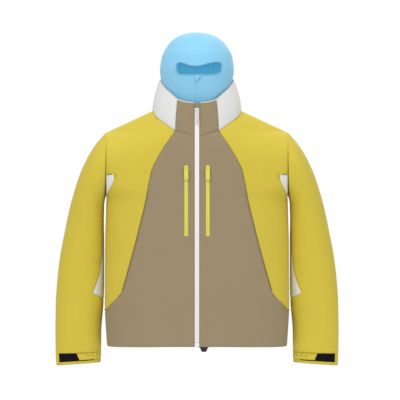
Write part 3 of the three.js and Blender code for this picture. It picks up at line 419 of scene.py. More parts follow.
# A cut piece of cloth. rows is a grid of points in millimetres; the outer face follows it and the cloth's
# thickness goes inwards. Its edges roll in a little, as they do where they are turned and sewn.
def cutCloth(name, rows, thickness=1.6, roll=0.9, rollWidth=5.0, closed=False, edges="ABCD", inward=None,
             drift=0.0, ease=0):
    height = len(rows)
    width = len(rows[0])
    clearSelection()
    bpy.ops.mesh.primitive_grid_add(x_subdivisions=width - 1, y_subdivisions=height - 1, size=1)
    piece = bpy.context.object
    piece.name = name
    mesh = piece.data
    points = np.array([[list(p) for p in row] for row in rows], float)
    for _ in range(ease):  # lets the cloth's curve run on evenly from level to level
        middle = (points[:-2, 1:-1] + points[2:, 1:-1] + points[1:-1, :-2] + points[1:-1, 2:]) / 4
        points[1:-1, 1:-1] = (points[1:-1, 1:-1] + middle) / 2
    across = np.zeros((height, width))
    across[:, 1:] = np.cumsum(np.linalg.norm(np.diff(points, axis=1), axis=2), axis=1)
    along = np.zeros((height, width))
    along[1:, :] = np.cumsum(np.linalg.norm(np.diff(points, axis=0), axis=2), axis=0)
    span = across[:, -1:]
    rise = along[-1:, :]
    far = np.full((height, width), 1e3)
    sides = {"A": across, "B": span - across, "C": along, "D": rise - along}
    for key in edges:
        far = np.minimum(far, sides[key])
    du = np.gradient(points, axis=1)
    dv = np.gradient(points, axis=0)
    if closed:
        du[:, 0] = du[:, -1] = (points[:, 1] - points[:, -2]) / 2
    normal = np.cross(du, dv)
    length = np.linalg.norm(normal, axis=2, keepdims=True)
    normal = normal / np.maximum(length, 1e-9)
    sink = roll * np.exp(-(far / rollWidth) ** 2)
    if inward is not None:
        sink = sink + inward(points, across, along, far)
    if drift:
        where = points / 1000
        x, y, z = where[..., 0], where[..., 1], where[..., 2]
        swell = (np.sin(z * 21 + x * 9) * np.sin(x * 26 + y * 7 + 1.3)
                 + 0.6 * np.sin(z * 43 + 2.1) * np.sin(x * 39 + y * 31))
        sink = sink + drift * swell * np.clip(far / 25, 0, 1)
    moved = points - normal * sink[..., None]
    moved[..., 1] += middleDepth
    moved[..., 2] += hemHeight
    mesh.vertices.foreach_set("co", (moved / 1000).reshape(-1))
    seamRun = np.where(np.minimum(across, span - across) < np.minimum(along, rise - along), along, across)
    cut = mesh.uv_layers[0] if mesh.uv_layers else mesh.uv_layers.new(name="cut")
    cut.name = "cut"
    seam = mesh.uv_layers.new(name="seam")
    vertexOf = np.zeros(len(mesh.loops), int)
    mesh.loops.foreach_get("vertex_index", vertexOf)
    middleAcross = across - span / 2
    cutValues = np.stack([middleAcross.reshape(-1)[vertexOf], along.reshape(-1)[vertexOf]], axis=1) / 1000
    seamValues = np.stack([far.reshape(-1)[vertexOf], seamRun.reshape(-1)[vertexOf]], axis=1)
    mesh.uv_layers["cut"].data.foreach_set("uv", cutValues.reshape(-1))
    mesh.uv_layers["seam"].data.foreach_set("uv", seamValues.reshape(-1))
    mesh.update()
    choose(piece)
    bpy.ops.object.mode_set(mode="EDIT")
    bpy.ops.mesh.select_all(action="SELECT")
    bpy.ops.mesh.remove_doubles(threshold=0.00005)
    bpy.ops.object.mode_set(mode="OBJECT")
    piece["flatSize"] = [float(span.max() / 1000), float(rise.max() / 1000)]
    corner = points[:-1, :-1]
    cell = np.linalg.norm(np.cross(points[1:, :-1] - corner, points[:-1, 1:] - corner), axis=2)
    piece["flatArea"] = float(cell.sum() / 1e6)
    if thickness:
        thicken(piece, thickness)
    return piece


def thicken(piece, thickness):
    solid = piece.modifiers.new("thickness", "SOLIDIFY")
    solid.thickness = thickness / 1000
    solid.offset = -1
    solid.use_even_offset = False
    solid.use_rim = True
    edge = piece.modifiers.new("turned edge", "BEVEL")
    edge.width = 0.0005
    edge.segments = 2
    edge.limit_method = "ANGLE"
    edge.angle_limit = radians(50)
    applyAll(piece)


# An outline of [x, z] places made into a plate from y0 to y1 with rounded edges.
def plate(outline, y0, y1, round=0.4, segments=3):
    clearSelection()
    bpy.ops.mesh.primitive_circle_add(vertices=len(outline), fill_type="NGON")
    piece = bpy.context.object
    for vertex, (x, z) in zip(piece.data.vertices, outline):
        vertex.co = (x, y0, z)
    bpy.ops.object.mode_set(mode="EDIT")
    bpy.ops.mesh.select_all(action="SELECT")
    bpy.ops.mesh.extrude_region_move(TRANSFORM_OT_translate={"value": (0, y1 - y0, 0)})
    bpy.ops.mesh.select_all(action="SELECT")
    bpy.ops.mesh.normals_make_consistent(inside=False)
    bpy.ops.object.mode_set(mode="OBJECT")
    if round:
        edge = piece.modifiers.new("round", "BEVEL")
        edge.width = round
        edge.segments = segments
        edge.limit_method = "ANGLE"
        edge.angle_limit = radians(40)
        applyAll(piece)
    return piece


# Works out a finished piece's area as a sheet of cloth from the size it was cut to, and keeps nothing.
def declareSheet(piece, restsOn):
    width, length = piece["flatSize"]
    area = clamp(piece["flatArea"], 0.3 * width * length, width * length)


# The body's surface, that every panel of it is cut from.
torso = {"hemHalfWidth": 262, "chestHalfWidth": 268, "shoulderHalfWidth": 263, "neckHalfWidth": 130,
         "neckZ": 682, "shoulderZ": 620, "armpitZ": 430, "armholeHalfWidth": 80, "frontDepth": 128,
         "frontLean": 0.02, "backDepth": 120, "neckFrontZ": 605, "squareness": 2.6,
         "shoulderRound": 137, "zipHalfWidth": 6.5, "seamGap": 0.5, "ridgeSoft": 25}
neckZ, shoulderZ, armpitZ = torso["neckZ"], torso["shoulderZ"], torso["armpitZ"]
armholeMidZ = (shoulderZ + armpitZ) / 2
armholeHalfHeight = (shoulderZ - armpitZ) / 2
ridgeSlope = (neckZ - shoulderZ) / (torso["shoulderHalfWidth"] - torso["neckHalfWidth"])
halfWidth = smooth([(0, torso["hemHalfWidth"]), (0.28 * armpitZ, torso["chestHalfWidth"]),
                    (0.7 * armpitZ, torso["chestHalfWidth"] - 1), (armpitZ, torso["shoulderHalfWidth"])])


def fromCentre(x):
    soft = torso["ridgeSoft"]
    return soft / 2 * (1 + (x / soft) ** 2) if x < soft else x


def ridgeZ(x):
    return shoulderZ + ridgeSlope * (torso["shoulderHalfWidth"] - fromCentre(x))


def ridgeX(z):
    return torso["shoulderHalfWidth"] - (z - shoulderZ) / ridgeSlope


def zipY(z):
    return -(torso["frontDepth"] - torso["frontLean"] * z)


def armholeY(z):
    t = (z - armholeMidZ) / armholeHalfHeight
    return torso["armholeHalfWidth"] * sqrt(1 - t * t) if abs(t) < 1 else 0


# How far the body's surface stands from the middle, front or back.
def standOff(x, z, isFront):
    across = min(abs(x) / halfWidth(z), 1)
    roundness = lerp(1 / torso["squareness"], 0.75, smoothstep(z, armpitZ, armholeMidZ))
    share = (1 - across ** torso["squareness"]) ** roundness
    t = clamp((ridgeZ(abs(x)) - z) / torso["shoulderRound"])
    arch = sqrt(1 - (1 - t) ** 2)
    full = -zipY(z) if isFront else torso["backDepth"]
    return lerp(armholeY(z), full * arch, share)


neckSeamX = smooth([(605, 6.5), (614.24, 33), (623.48, 63), (643.5, 92.3), (663.52, 119.6), (682, 130)])


def neckBackX(z):
    return torso["neckHalfWidth"] * (1 - clamp((z - neckZ) / 13) ** 1.25)


def outerEdge(z):
    if z > neckZ:
        return neckBackX(z)
    return ridgeX(z) if z > shoulderZ else halfWidth(z)


# The seam between taupe and mustard: its long slope, which front and back share, and the front's foot.
seamSlope = [(150, 219), (225.7, 197.5), (306.9, 175.5), (364.9, 161.3), (414.7, 149.3), (473.3, 138.3),
             (510, 130), (538.8, 116.3), (578.3, 93.5), (623.4, 64.3)]
seamFoot = straight([(101, 272), (108, 258.6), (122, 251.4), seamSlope[0]])
seamRise = smooth([*seamSlope, (648, 57.6)])


def seamX(z):
    return seamRise(z) if z >= seamSlope[0][0] else min(seamFoot(z), halfWidth(z))


def torsoPoint(x, z, isFront, depth=0.0):
    y = (-1 if isFront else 1) * standOff(x, z, isFront)
    full = -zipY(z) if isFront else torso["backDepth"]
    over = smoothstep(z, shoulderZ - torso["shoulderRound"], shoulderZ)
    return (x * (1 - depth / halfWidth(z)), y * (1 - depth / full), z - depth * over)


# Places across a level, evenly spaced by the length along the cloth, with both ends crowded.
def spaced(z, start, end, steps, isFront, ends=0.8):
    fine = [lerp(start, end, i / 60) for i in range(61)] if end < halfWidth(z) - 30 else [
        start + (end - start) * sin(pi / 2 * i / 60) for i in range(61)]
    points = np.array([torsoPoint(x, z, isFront) for x in fine])
    run = np.concatenate([[0], np.cumsum(np.linalg.norm(np.diff(points, axis=0), axis=1))])
    wanted = np.array(crowded(steps, ends)) * run[-1]
    return np.interp(wanted, run, fine)


def torsoRows(levels, start, end, steps, isFront, depth=0.0, ends=0.8):
    rows = []
    for z in levels:
        xs = spaced(z, start(z), end(z), steps, isFront, ends)
        rows.append([torsoPoint(float(x), z, isFront, depth) for x in xs])
    return rows


def levelsBetween(low, high, step, extra=()):
    count = max(2, int((high - low) / step))
    levels = [low + (high - low) * i / count for i in range(count + 1)]
    levels = sorted(levels + [v for v in extra if low < v < high])
    return [v for i, v in enumerate(levels) if i == 0 or v - levels[i - 1] > 0.35]


gap = torso["seamGap"]
hemExtra = (1.5, 3.5, 6, 9)
# The mustard's free edge at the hand pocket: it stands proud, and the taupe runs on under it.
lip = {"low": 150, "high": 467, "proud": 2.6, "width": 9, "under": 11, "sink": 2.4, "sinkWidth": 6}


def lipShare(z):
    starts = smoothstep(z, lip["low"] - 2, lip["low"] + 14)
    return starts * (1 - smoothstep(z, lip["high"] - 24, lip["high"] + 4))


pocketOpening = [(25.5, 318), (36.5, 318), (36.5, 518), (35, 521.5), (31, 523), (27, 521.5), (25.5, 518)]


def subtract(piece, cutter):
    cut = piece.modifiers.new("cut", "BOOLEAN")
    cut.operation = "DIFFERENCE"
    cut.solver = "EXACT"
    cut.object = cutter
    applyAll(piece)
    bpy.data.objects.remove(cutter, do_unlink=True)


# Cuts an outline of [x, z] places right through a closed piece, from y0 to y1.
def carve(piece, outline, y0, y1):
    cutter = plate(outline, y0, y1, 0)
    cutter.data.transform(Matrix.Translation(place(0, 0, 0)) @ Matrix.Scale(0.001, 4))
    subtract(piece, cutter)


# Front panel: the taupe slips under the mustard's free edge at the hand pocket.
def frontPanel():
    def end(z):
        side = halfWidth(z)
        return side if seamX(z) > side - 0.6 else min(seamX(z) - gap + lip["under"] * lipShare(z), side)

    def start(z):
        return torso["zipHalfWidth"] if z < torso["neckFrontZ"] else neckSeamX(z)

    levels = levelsBetween(0, 604, 5.6, (*hemExtra, 97, 99.5, 101.5, 104, 108, 122, 150))
    levels += [605.5, 607, 609, 611.5, 614, 616.5, 619, 621, 622.6]
    rows = torsoRows(levels, start, end, 34, True)

    def inward(points, across, along, far):
        under = np.zeros_like(across)
        for i, z in enumerate(levels):
            free = lipShare(z)
            if free > 0:
                fromSeam = across[i, -1] - lip["under"] * free - across[i]
                under[i] = free * lip["sink"] * np.clip(1 - fromSeam / lip["sinkWidth"], 0, 1)
        return under
    panel = cutCloth("frontPanel", rows, roll=1.0, inward=inward, drift=0.5, ease=14)
    carve(panel, pocketOpening, -160, -60)
    return panel


def both(name):
    return name + "_left", name + "_right"


# A piece and its mirror image, with the names of the solids they stand for and what each one rests on.
def mirroredPair(build, name, finishName, nodes, bodies=("shell", "shell"), restsOn=None):
    left = build()
    pieces = (left, mirroredCopy(left, "right" + name))
    for i, piece in enumerate(pieces):
        finish(piece, ("left", "right")[i] + name, finishName, bodies[i], [both(nodes)[i]] if nodes else ())
    for i, piece in enumerate(pieces):
        if restsOn:
            declareSheet(piece, [restsOn[i]])


# Carries a row on from the middle to the other side.
def wholeRow(half):
    return half + [(-x, y, z) for x, y, z in half[-2::-1]]


mirroredPair(frontPanel, "FrontPanel", "taupe", "front_panel", restsOn=both("front_lining"))
print("front panels ready")


# One level along a bent line of [x, z] places, evenly spaced along the cloth.
def bentRow(line, steps):
    fine = []
    for (x0, z0), (x1, z1) in zip(line, line[1:]):
        fine += [(lerp(x0, x1, i / 24), lerp(z0, z1, i / 24)) for i in range(24)]
    fine.append(line[-1])
    points = np.array([torsoPoint(x, z, True) for x, z in fine])
    run = np.concatenate([[0], np.cumsum(np.linalg.norm(np.diff(points, axis=0), axis=1))])
    wanted = np.array(crowded(steps)) * run[-1]
    xs, zs = [np.interp(wanted, run, column) for column in np.array(fine).T]
    return [torsoPoint(float(x), float(z), True) for x, z in zip(xs, zs)]


# Side panel, from the seam round to the side and up over the shoulder's front. A notch takes the gusset.
gusset = {"x": 232, "z": 498.4, "side": 263, "topZ": 494.3, "low": 432}


def sidePanel():
    notch = straight([(gusset["low"], gusset["side"]), (gusset["z"], gusset["x"])])
    bottom = levelsBetween(103, gusset["low"], 5.6, (104, 105.5, 108, 112, 117, 122, 128, 136, 150))
    middle = levelsBetween(gusset["low"] + 0.8, gusset["z"], 4.5)
    top = levelsBetween(510, 681, 5.2, (604, 613, 618, 620, 624, 628, 673, 677))
    rows = []

    def seam(z):
        return seamX(z) + gap if z < seamSlope[-1][0] else neckSeamX(z)

    def levelRow(z, end):
        rows.append(bentRow([(seam(z), z), (lerp(seam(z), end, 0.7), z), (end, z)], 34))
    for z in bottom:
        levelRow(z, halfWidth(z))
    for z in middle:
        rows.append(bentRow([(seam(z), z), (notch(z) - gap, z)], 34))
    for share in (0.06, 0.5):
        z = lerp(gusset["z"], 510, share)
        low = lerp(gusset["topZ"] + 0.6, 510, share)
        rows.append(bentRow([(seam(z), z), (lerp(gusset["x"], 240, share), z), (262.9, low)], 34))
    for z in top:
        levelRow(z, halfWidth(z) if z <= shoulderZ else ridgeX(z))
    levels = bottom + middle + [500, 505] + top

    def inward(points, across, along, far):
        raised = np.zeros_like(across)
        for i, z in enumerate(levels):
            free = lipShare(z)
            raised[i] = -free * lip["proud"] * np.exp(-(across[i] / lip["width"]) ** 2)
        return raised
    return cutCloth("sidePanel", rows, roll=0.9, inward=inward, drift=0.6, ease=14)


mirroredPair(sidePanel, "SidePanel", "mustard", "side_panel", restsOn=both("front_lining"))


def underarmGusset():
    rows = []
    for i in range(16):
        t = 0.02 + 0.98 * i / 15
        inner = (lerp(gusset["side"], gusset["x"] + 0.5, t), lerp(gusset["low"], gusset["z"] - 0.6, t))
        outer = (gusset["side"] - 0.1, lerp(gusset["low"], gusset["topZ"] - 0.3, t))
        rows.append(bentRow([inner, outer], 10))
    return cutCloth("gusset", rows, roll=0.7, rollWidth=3)


mirroredPair(underarmGusset, "UnderarmGusset", "white", "underarm_gusset", restsOn=both("side_panel"))
print("side panels ready")


# Back: a taupe centre between two mustard sides.
backSeam = smooth([(0, 262), (80, 272), (101, 271), (109, 258.6), (126, 247), *seamSlope,
                   (682, 52.6), (750, 39)])


def backSeamX(z):
    return min(backSeam(z), halfWidth(z))


def backPanel():
    levels = levelsBetween(0, 693, 5.6, (*hemExtra, 98, 101, 104, 108, 122, 150, 684, 687, 690))
    levels += [694, 694.6]
    rows = []
    for z in levels:
        side = halfWidth(z)
        end = side if backSeamX(z) > side - 0.6 else backSeamX(z) - gap
        end = min(end, neckBackX(z) if z > neckZ else end)
        half = [torsoPoint(float(x), z, False) for x in spaced(z, 0, end, 26, False, 0.0)]
        rows.append(wholeRow(half[::-1]))
    return cutCloth("backPanel", rows, roll=1.0, drift=0.6, ease=14)


declareSheet(finish(backPanel(), "backPanel", "taupe", "shell", ["back_panel"]), ["back_lining"])


def backSidePanel():
    rows = []
    extra = (104.5, 106, 108, 122, 150, 613, 618, 620, 624, 628, 673, 677, 682, 686)
    for z in levelsBetween(103, 690, 5.6, extra):
        seam = backSeamX(z) + gap
        row = spaced(z, seam, max(outerEdge(z), seam + 0.2), 30, False)
        rows.append([torsoPoint(float(x), z, False) for x in row][::-1])
    return cutCloth("backSidePanel", rows, roll=0.9, drift=0.6, ease=14)


mirroredPair(backSidePanel, "BackSidePanel", "mustard", "back_side_panel",
             restsOn=("back_lining", "back_lining"))
print("back ready")


# Linings, pocket bags and hem.
lining = {"low": 29, "step": 14, "depth": 9, "thickness": 1.0}


def frontLining():
    def start(z):
        return torso["zipHalfWidth"] if z < torso["neckFrontZ"] else neckSeamX(z)
    levels = levelsBetween(lining["low"], 604, lining["step"])
    levels += [608, 612, 617, 623, 632, 643, 655, 668, 680]
    rows = torsoRows(levels, start, outerEdge, 24, True, lining["depth"])
    return cutCloth("frontLining", rows, thickness=lining["thickness"], roll=0.2, drift=0.5)


mirroredPair(frontLining, "FrontLining", "lining", "front_lining", restsOn=both("front_panel"))


def backLining():
    rows = []
    for z in levelsBetween(lining["low"], 690, lining["step"], (620, 640, 660, 682)):
        xs = spaced(z, 0, outerEdge(z), 18, False, 0.0)
        rows.append(wholeRow([torsoPoint(float(x), z, False, lining["depth"]) for x in xs][::-1]))
    return cutCloth("backLining", rows, thickness=lining["thickness"], roll=0.2, drift=0.5)


declareSheet(finish(backLining(), "backLining", "lining", "shell", ["back_lining"]), ["back_panel"])


def pocketBag(x0, x1, z0, z1, depth):
    rows = torsoRows(levelsBetween(z0, z1, 9), lambda z: x0, lambda z: x1, 14, True, depth, 0.5)
    return cutCloth("bag", rows, thickness=1.2, roll=0.6)


mirroredPair(lambda: pocketBag(x0=24, x1=124, z0=296, z1=528, depth=6.4), "ChestPocketBag", "lining",
             "chest_pocket_bag", restsOn=both("front_lining"))
mirroredPair(lambda: pocketBag(x0=91, x1=214, z0=62, z1=279, depth=5.6), "HandPocketBag", "lining",
             "hand_pocket_bag", restsOn=both("front_lining"))


# The hem's outline in plan, from the wearer's left of the zip round the back to the right.
def hemRing(z, depth, steps=30):
    def run(start, isFront):
        xs = spaced(z, start, halfWidth(z), steps, isFront, 0.0)
        return [torsoPoint(float(x), z, isFront, depth) for x in xs]
    return wholeRow(run(18, True)[:-1] + run(0, False)[::-1])


hemBand = {"bottom": 1.0, "top": 28, "lipDepth": 2.8, "depth": 9.6}


def hemFacing():
    low, depth = hemBand["bottom"], hemBand["depth"]
    section = [(hemBand["top"], depth + 0.4), (20, depth + 0.6), (8, depth + 0.6), (3, depth + 0.2),
               (low + 0.4, depth - 1.4), (low, 6), (low, hemBand["lipDepth"] + 0.4)]
    return cutCloth("hemFacing", [hemRing(*at) for at in section], thickness=1.1, roll=0.0, edges="CD")


declareSheet(finish(hemFacing(), "hemFacing", "taupe", "shell", ["hem_facing"]), ["back_panel"])
print("linings and hem ready")


# Collar.
collar = {"frontTop": 701, "sideTop": 769, "backTop": 785, "topHalfWidth": 110, "topShift": -8,
          "topBack": 103, "bulge": 3.5, "facingDepth": 3.2, "facingProud": 3.0, "lift": 0.5}
collarTopZ = smooth([(0, 701), (29.7, 704), (55, 711), (77, 729), (92.4, 743), (104.5, 758), (110, 769)])


def neckSeamZ(x):
    low, high = torso["neckFrontZ"], neckZ
    for _ in range(24):
        middle = (low + high) / 2
        low, high = (middle, high) if neckSeamX(middle) < x else (low, middle)
    return low


# A place on the collar: turn runs from 0 at the zip over 1 at the side to 2 at the middle of the back, and
# height from 0 at the neck seam to 1 at the top.
def collarPoint(turn, height, depth=0.0, proud=0.0):
    isFront = turn < 1
    share = sin(pi / 2 * (turn if isFront else 2 - turn))
    start = torso["zipHalfWidth"] if isFront else 0
    x = start + share * (torso["neckHalfWidth"] - start)
    if isFront:
        z = neckSeamZ(x)
        low = Vector((x, -max(standOff(x, z, True), 0.4), z))
    else:
        z = neckZ + 13 * (1 - x / torso["neckHalfWidth"]) ** (1 / 1.25)
        low = Vector((x, max(standOff(x, z, False), 0.4), z))
    across = start + share * (collar["topHalfWidth"] - start)
    bow = sqrt(max(0, 1 - share * share))
    if isFront:
        reach = zipY(collar["frontTop"]) - collar["topShift"]
        high = Vector((across, collar["topShift"] + bow * reach, collarTopZ(across)))
    else:
        high = Vector((across, collar["topShift"] + bow * collar["topBack"],
                       lerp(collar["sideTop"], collar["backTop"], bow)))
    point = low.lerp(high, height)
    out = Vector((point.x, point.y - collar["topShift"], 0)).normalized()
    away = min(1, (abs(point.x) - torso["zipHalfWidth"]) / collar["topHalfWidth"])
    point += out * (collar["bulge"] * sin(pi * height) * max(away, 0) - depth)
    point.z += lerp(collar["lift"], proud, height)
    return point


def turnAt(x, isFront):
    start = torso["zipHalfWidth"] if isFront else 0
    turn = asin(clamp((x - start) / (torso["neckHalfWidth"] - start))) * 2 / pi
    return turn if isFront else 2 - turn


def collarRows(first, last, steps, depth=0.0, proud=0.0, heights=14):
    rows = []
    for height in crowded(heights, 0.7):
        a, b = first(height), last(height)
        rows.append([tuple(collarPoint(lerp(a, b, t), height, depth, proud)) for t in crowded(steps, 0.6)])
    return rows


def collarFront():
    rows = collarRows(lambda h: 0.0, lambda h: turnAt(lerp(62.4, 66.2, h), True), 22)
    return cutCloth("collarFront", rows, roll=0.8, rollWidth=4, drift=0.3)


mirroredPair(collarFront, "CollarFront", "taupe", "collar_front",
             restsOn=("collar_facing", "collar_facing"))


def collarSide():
    rows = collarRows(lambda h: turnAt(lerp(63.4, 67.2, h), True),
                      lambda h: turnAt(lerp(50.5, 59.7, h), False), 44)
    return cutCloth("collarSide", rows, roll=0.8, rollWidth=4, drift=0.3)


mirroredPair(collarSide, "CollarSide", "white", "collar_side",
             restsOn=("collar_facing", "collar_facing"))


def collarBack():
    half = collarRows(lambda h: turnAt(lerp(49.6, 58.8, h), False), lambda h: 2.0, 12)
    return cutCloth("collarBack", [wholeRow(row) for row in half], roll=0.8, rollWidth=4)


declareSheet(finish(collarBack(), "collarBack", "white", "shell", ["collar_back"]), ["collar_facing"])


def collarFacing():
    first = turnAt(10.5, True)
    half = collarRows(lambda h: first, lambda h: 2.0, 60, collar["facingDepth"] - 0.5,
                      collar["facingProud"], 12)
    return cutCloth("collarFacing", [wholeRow(row) for row in half], thickness=2.0, roll=0.3)


declareSheet(finish(collarFacing(), "collarFacing", "cream", "shell", ["collar_facing"]), ["collar_back"])
print("collar ready")


# Sleeves.
# Sections of the sleeve: inner x and height, outer x and height, half depth, and place front to back.
sleeveSections = [
    (0, 430, 0, 620, 80, 0), (3, 428, 26, 590.8, 83, 2), (4.5, 424.6, 49, 556.3, 85, 5),
    (6, 419.8, 71, 510.8, 83, 8), (7.5, 409.5, 89, 462, 80, 12), (7, 391, 105, 409.8, 77, 15),
    (6.6, 337.3, 119, 344.7, 72, 18), (6.2, 269, 133, 270.2, 66, 20), (6.2, 198.2, 142, 199.6, 61, 20),
    (8, 127.4, 147, 127.8, 56, 18), (14, 46.9, 149, 50.5, 50, 15), (15, -4.3, 148, -5.1, 46, 12),
    (16, -48.2, 146, -58, 42, 9)]
armholeX = 263.8
sleeveCurves = [smooth([(k, row[i]) for k, row in enumerate(sleeveSections)]) for i in range(6)]
lastSection = len(sleeveSections) - 1


# k runs down the sleeve; the angle starts at the inner edge and turns over the front.
def sleevePoint(k, angle, depth=0.0):
    ix, iz, ox, oz, half, y = [curve(k) for curve in sleeveCurves]
    inner = Vector((armholeX + ix, y, iz))
    outer = Vector((armholeX + ox, y, oz))
    middle = (inner + outer) / 2
    radius = (outer - inner) / 2
    radius = radius * ((radius.length - depth) / radius.length)
    c, s = cos(angle), sin(angle)
    power = 2 / lerp(2, 2.2, clamp(k))
    point = middle - radius * (1 if c > 0 else -1) * abs(c) ** power
    point.y -= (half - depth) * (1 if s > 0 else -1) * abs(s) ** power
    return point


sleeveGussetAngle = straight([(0, 0), (5.9, 0), (6.3, 9), (7.0, 19), (7.48, 28.5), (8.0, 40), (8.65, 60),
                              (8.96, 0), (12, 0)])
rowsDown = sorted({*[round(0.1 * i, 2) for i in range(121)], 8.56, 8.64, 8.68, 8.74, 8.85, 8.92, 8.97,
                   11.94, 11.97})


def sleeveCloth(depth=0.0, withGusset=True, last=12.0, columns=72):
    rows = []
    for k in rowsDown[::-1]:
        if k > last:
            continue
        opening = radians(sleeveGussetAngle(k)) if withGusset else 0
        opening += 0.006 if opening > 0.01 else 0
        at = depth if k < 11.5 else lerp(depth, min(depth, 2.7), (k - 11.5) / 0.5)
        angles = [lerp(opening, 2 * pi - opening, j / columns) for j in range(columns + 1)]
        rows.append([tuple(sleevePoint(k, angle, at)) for angle in angles])
    return rows


# Soft folds where the cloth bends at the elbow and gathers above the cuff.
def sleeveFolds(points, across, along, far):
    x = (points[..., 0] - armholeX) / 1000
    z = points[..., 2]
    elbow = np.exp(-((z - 235) / 60) ** 2) * np.exp(-(points[..., 0] - armholeX) ** 2 / 55 ** 2)
    folds = 1.3 * elbow * np.sin(z / 7.5 + 9 * x + 0.8)
    cuff = np.exp(-((z + 10) / 40) ** 2) * 0.5 * np.sin(points[..., 0] / 6 + points[..., 1] / 9)
    armpit = np.exp(-((z - 420) / 55) ** 2) * np.exp(-(points[..., 0] - armholeX) ** 2 / 45 ** 2)
    return folds + cuff + 1.1 * armpit * np.sin(points[..., 0] / 5.5 - z / 16)


def bendSleeve(piece, side):
    sign = 1 if side == "left" else -1
    start = Vector((sign * 0.264, middleDepth / 1000, -0.288))
    side + "_sleeve"
    start + Vector((sign * 0.05, 0, -0.015))
    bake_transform(piece)


def sleevePieces(build, name, finishName, nodes, restsOn):
    left = build()
    for piece, side in ((left, "left"), (mirroredCopy(left, "right" + name), "right")):
        finish(piece, side + name, finishName, None, [node + "_" + side for node in nodes])
        bendSleeve(piece, side)
        declareSheet(piece, [restsOn + "_" + side])


sleevePieces(lambda: cutCloth("sleeve", sleeveCloth(), roll=1.0, drift=0.7, inward=sleeveFolds),
             "Sleeve", "mustard", ("upper_sleeve", "lower_sleeve"), "sleeve_lining")


def sleeveGusset():
    rows = []
    for k in [v for v in rowsDown[::-1] if 5.95 < v < 8.955]:
        opening = radians(sleeveGussetAngle(k)) - 0.006
        rows.append([tuple(sleevePoint(k, lerp(-opening, opening, j / 24))) for j in range(25)])
    return cutCloth("sleeveGusset", rows, roll=0.9, rollWidth=4)


sleevePieces(sleeveGusset, "SleeveGusset", "white", ("sleeve_gusset",), "sleeve_lining")


def sleeveLining():
    rows = sleeveCloth(depth=4.8, withGusset=False, last=11.94, columns=36)
    return cutCloth("sleeveLining", rows, thickness=1.0, roll=0)


sleevePieces(sleeveLining, "SleeveLining", "lining", ("sleeve_lining",), "upper_sleeve")
print("sleeves ready")


# Cuff closure.
cuff = {"low": 9.5, "patchFrom": 48, "patchTo": 145, "hookFrom": 65, "hookTo": 85, "tabFrom": 21,
        "tabTo": 90, "slant": -2.4, "studs": (284, 294, 305.5, 317.7), "studRadius": 0.0016}
sectionHeight = 52.9
tabBodies = ("left_cuff_tab", "right_cuff_tab")


# A strip round the cuff between two angles, so far above the sleeve's end and off its surface.
def cuffStrip(firstAngle, lastAngle, low, high, off, slant=0.0):
    rows = []
    for t in crowded(12, 0.5):
        k = lastSection - (cuff["low"] + lerp(low, high, t)) / sectionHeight
        first, last = radians(firstAngle), radians(lastAngle + lerp(slant, -slant, t))
        rows.append([tuple(sleevePoint(k, lerp(first, last, j / 44), -off)) for j in range(45)])
    return rows


def cuffPatch():
    rows = cuffStrip(cuff["patchFrom"], cuff["patchTo"], low=0, high=26, off=1.3)
    return cutCloth("patch", rows, thickness=0.9, roll=0.3, rollWidth=2)


def cuffHook():
    rows = cuffStrip(cuff["hookFrom"], cuff["hookTo"], low=4, high=21, off=2.6)
    return cutCloth("hook", rows, thickness=0.9, roll=0.3, rollWidth=2)


def cuffTab():
    rows = cuffStrip(cuff["tabFrom"], cuff["tabTo"], low=3, high=25, off=4.4, slant=cuff["slant"])
    return cutCloth("tab", rows, thickness=1.5, roll=0.8, rollWidth=2.5)


mirroredPair(cuffPatch, "CuffPatch", "pile", "cuff_loop_patch", ("left_sleeve", "right_sleeve"))
mirroredPair(cuffHook, "CuffHookPad", "pile", "cuff_hook_pad", tabBodies)
mirroredPair(cuffTab, "CuffTab", "mustard", "cuff_tab", tabBodies, both("cuff_hook_pad"))


# Four small studs along the tab.
def tabStuds():
    made = []
    for x in cuff["studs"]:
        share = clamp((344.8 - x) / 65, -1, 1)
        angle = acos((1 if share > 0 else -1) * abs(share) ** 1.1)
        k = lastSection - (cuff["low"] + 17) / sectionHeight
        at = sleevePoint(k, angle, -4.5)
        out = (sleevePoint(k, angle, -8) - at).normalized()
        clearSelection()
        bpy.ops.mesh.primitive_uv_sphere_add(segments=14, ring_count=8, radius=cuff["studRadius"],
                                             location=place(*at))
        stud = bpy.context.object
        stud.rotation_euler = out.to_track_quat("Z", "Y").to_euler()
        stud.scale = (1, 1, 0.45)
        made.append(settle())
    return joined(made)


def joined(parts):
    clearSelection()
    for part in parts:
        part.select_set(True)
    bpy.context.view_layer.objects.active = parts[0]
    if len(parts) > 1:
        bpy.ops.object.join()
    return bpy.context.object


mirroredPair(tabStuds, "TabStuds", "plastic", None, tabBodies)
print("cuffs ready")


# Zips.
tilt = -atan2(torso["frontLean"], 1)


# From a zip's own frame, in millimetres behind the cloth's face, to the row's.
def zipMatrix(x, y):
    return Matrix.Translation(place(x, y, 0)) @ Matrix.Rotation(tilt, 4, "X") @ Matrix.Scale(0.001, 4)


def block(x0, x1, y0, y1, z0, z1, round=0.4, segments=2):
    clearSelection()
    bpy.ops.mesh.primitive_cube_add(size=1, location=((x0 + x1) / 2, (y0 + y1) / 2, (z0 + z1) / 2),
                                    scale=(x1 - x0, y1 - y0, z1 - z0))
    settle()
    roundEdges(round, segments)
    return bpy.context.object


def rod(radius, x0, x1, y, z):
    clearSelection()
    bpy.ops.mesh.primitive_cylinder_add(vertices=20, radius=radius, depth=x1 - x0,
                                        location=((x0 + x1) / 2, y, z), rotation=(0, pi / 2, 0))
    return settle()


def placedPart(piece, matrix):
    piece.data.transform(matrix)
    return piece


def arc(cx, cz, radius, first, last, steps=6):
    return [(cx + radius * cos(radians(lerp(first, last, i / steps))),
             cz + radius * sin(radians(lerp(first, last, i / steps)))) for i in range(steps + 1)]


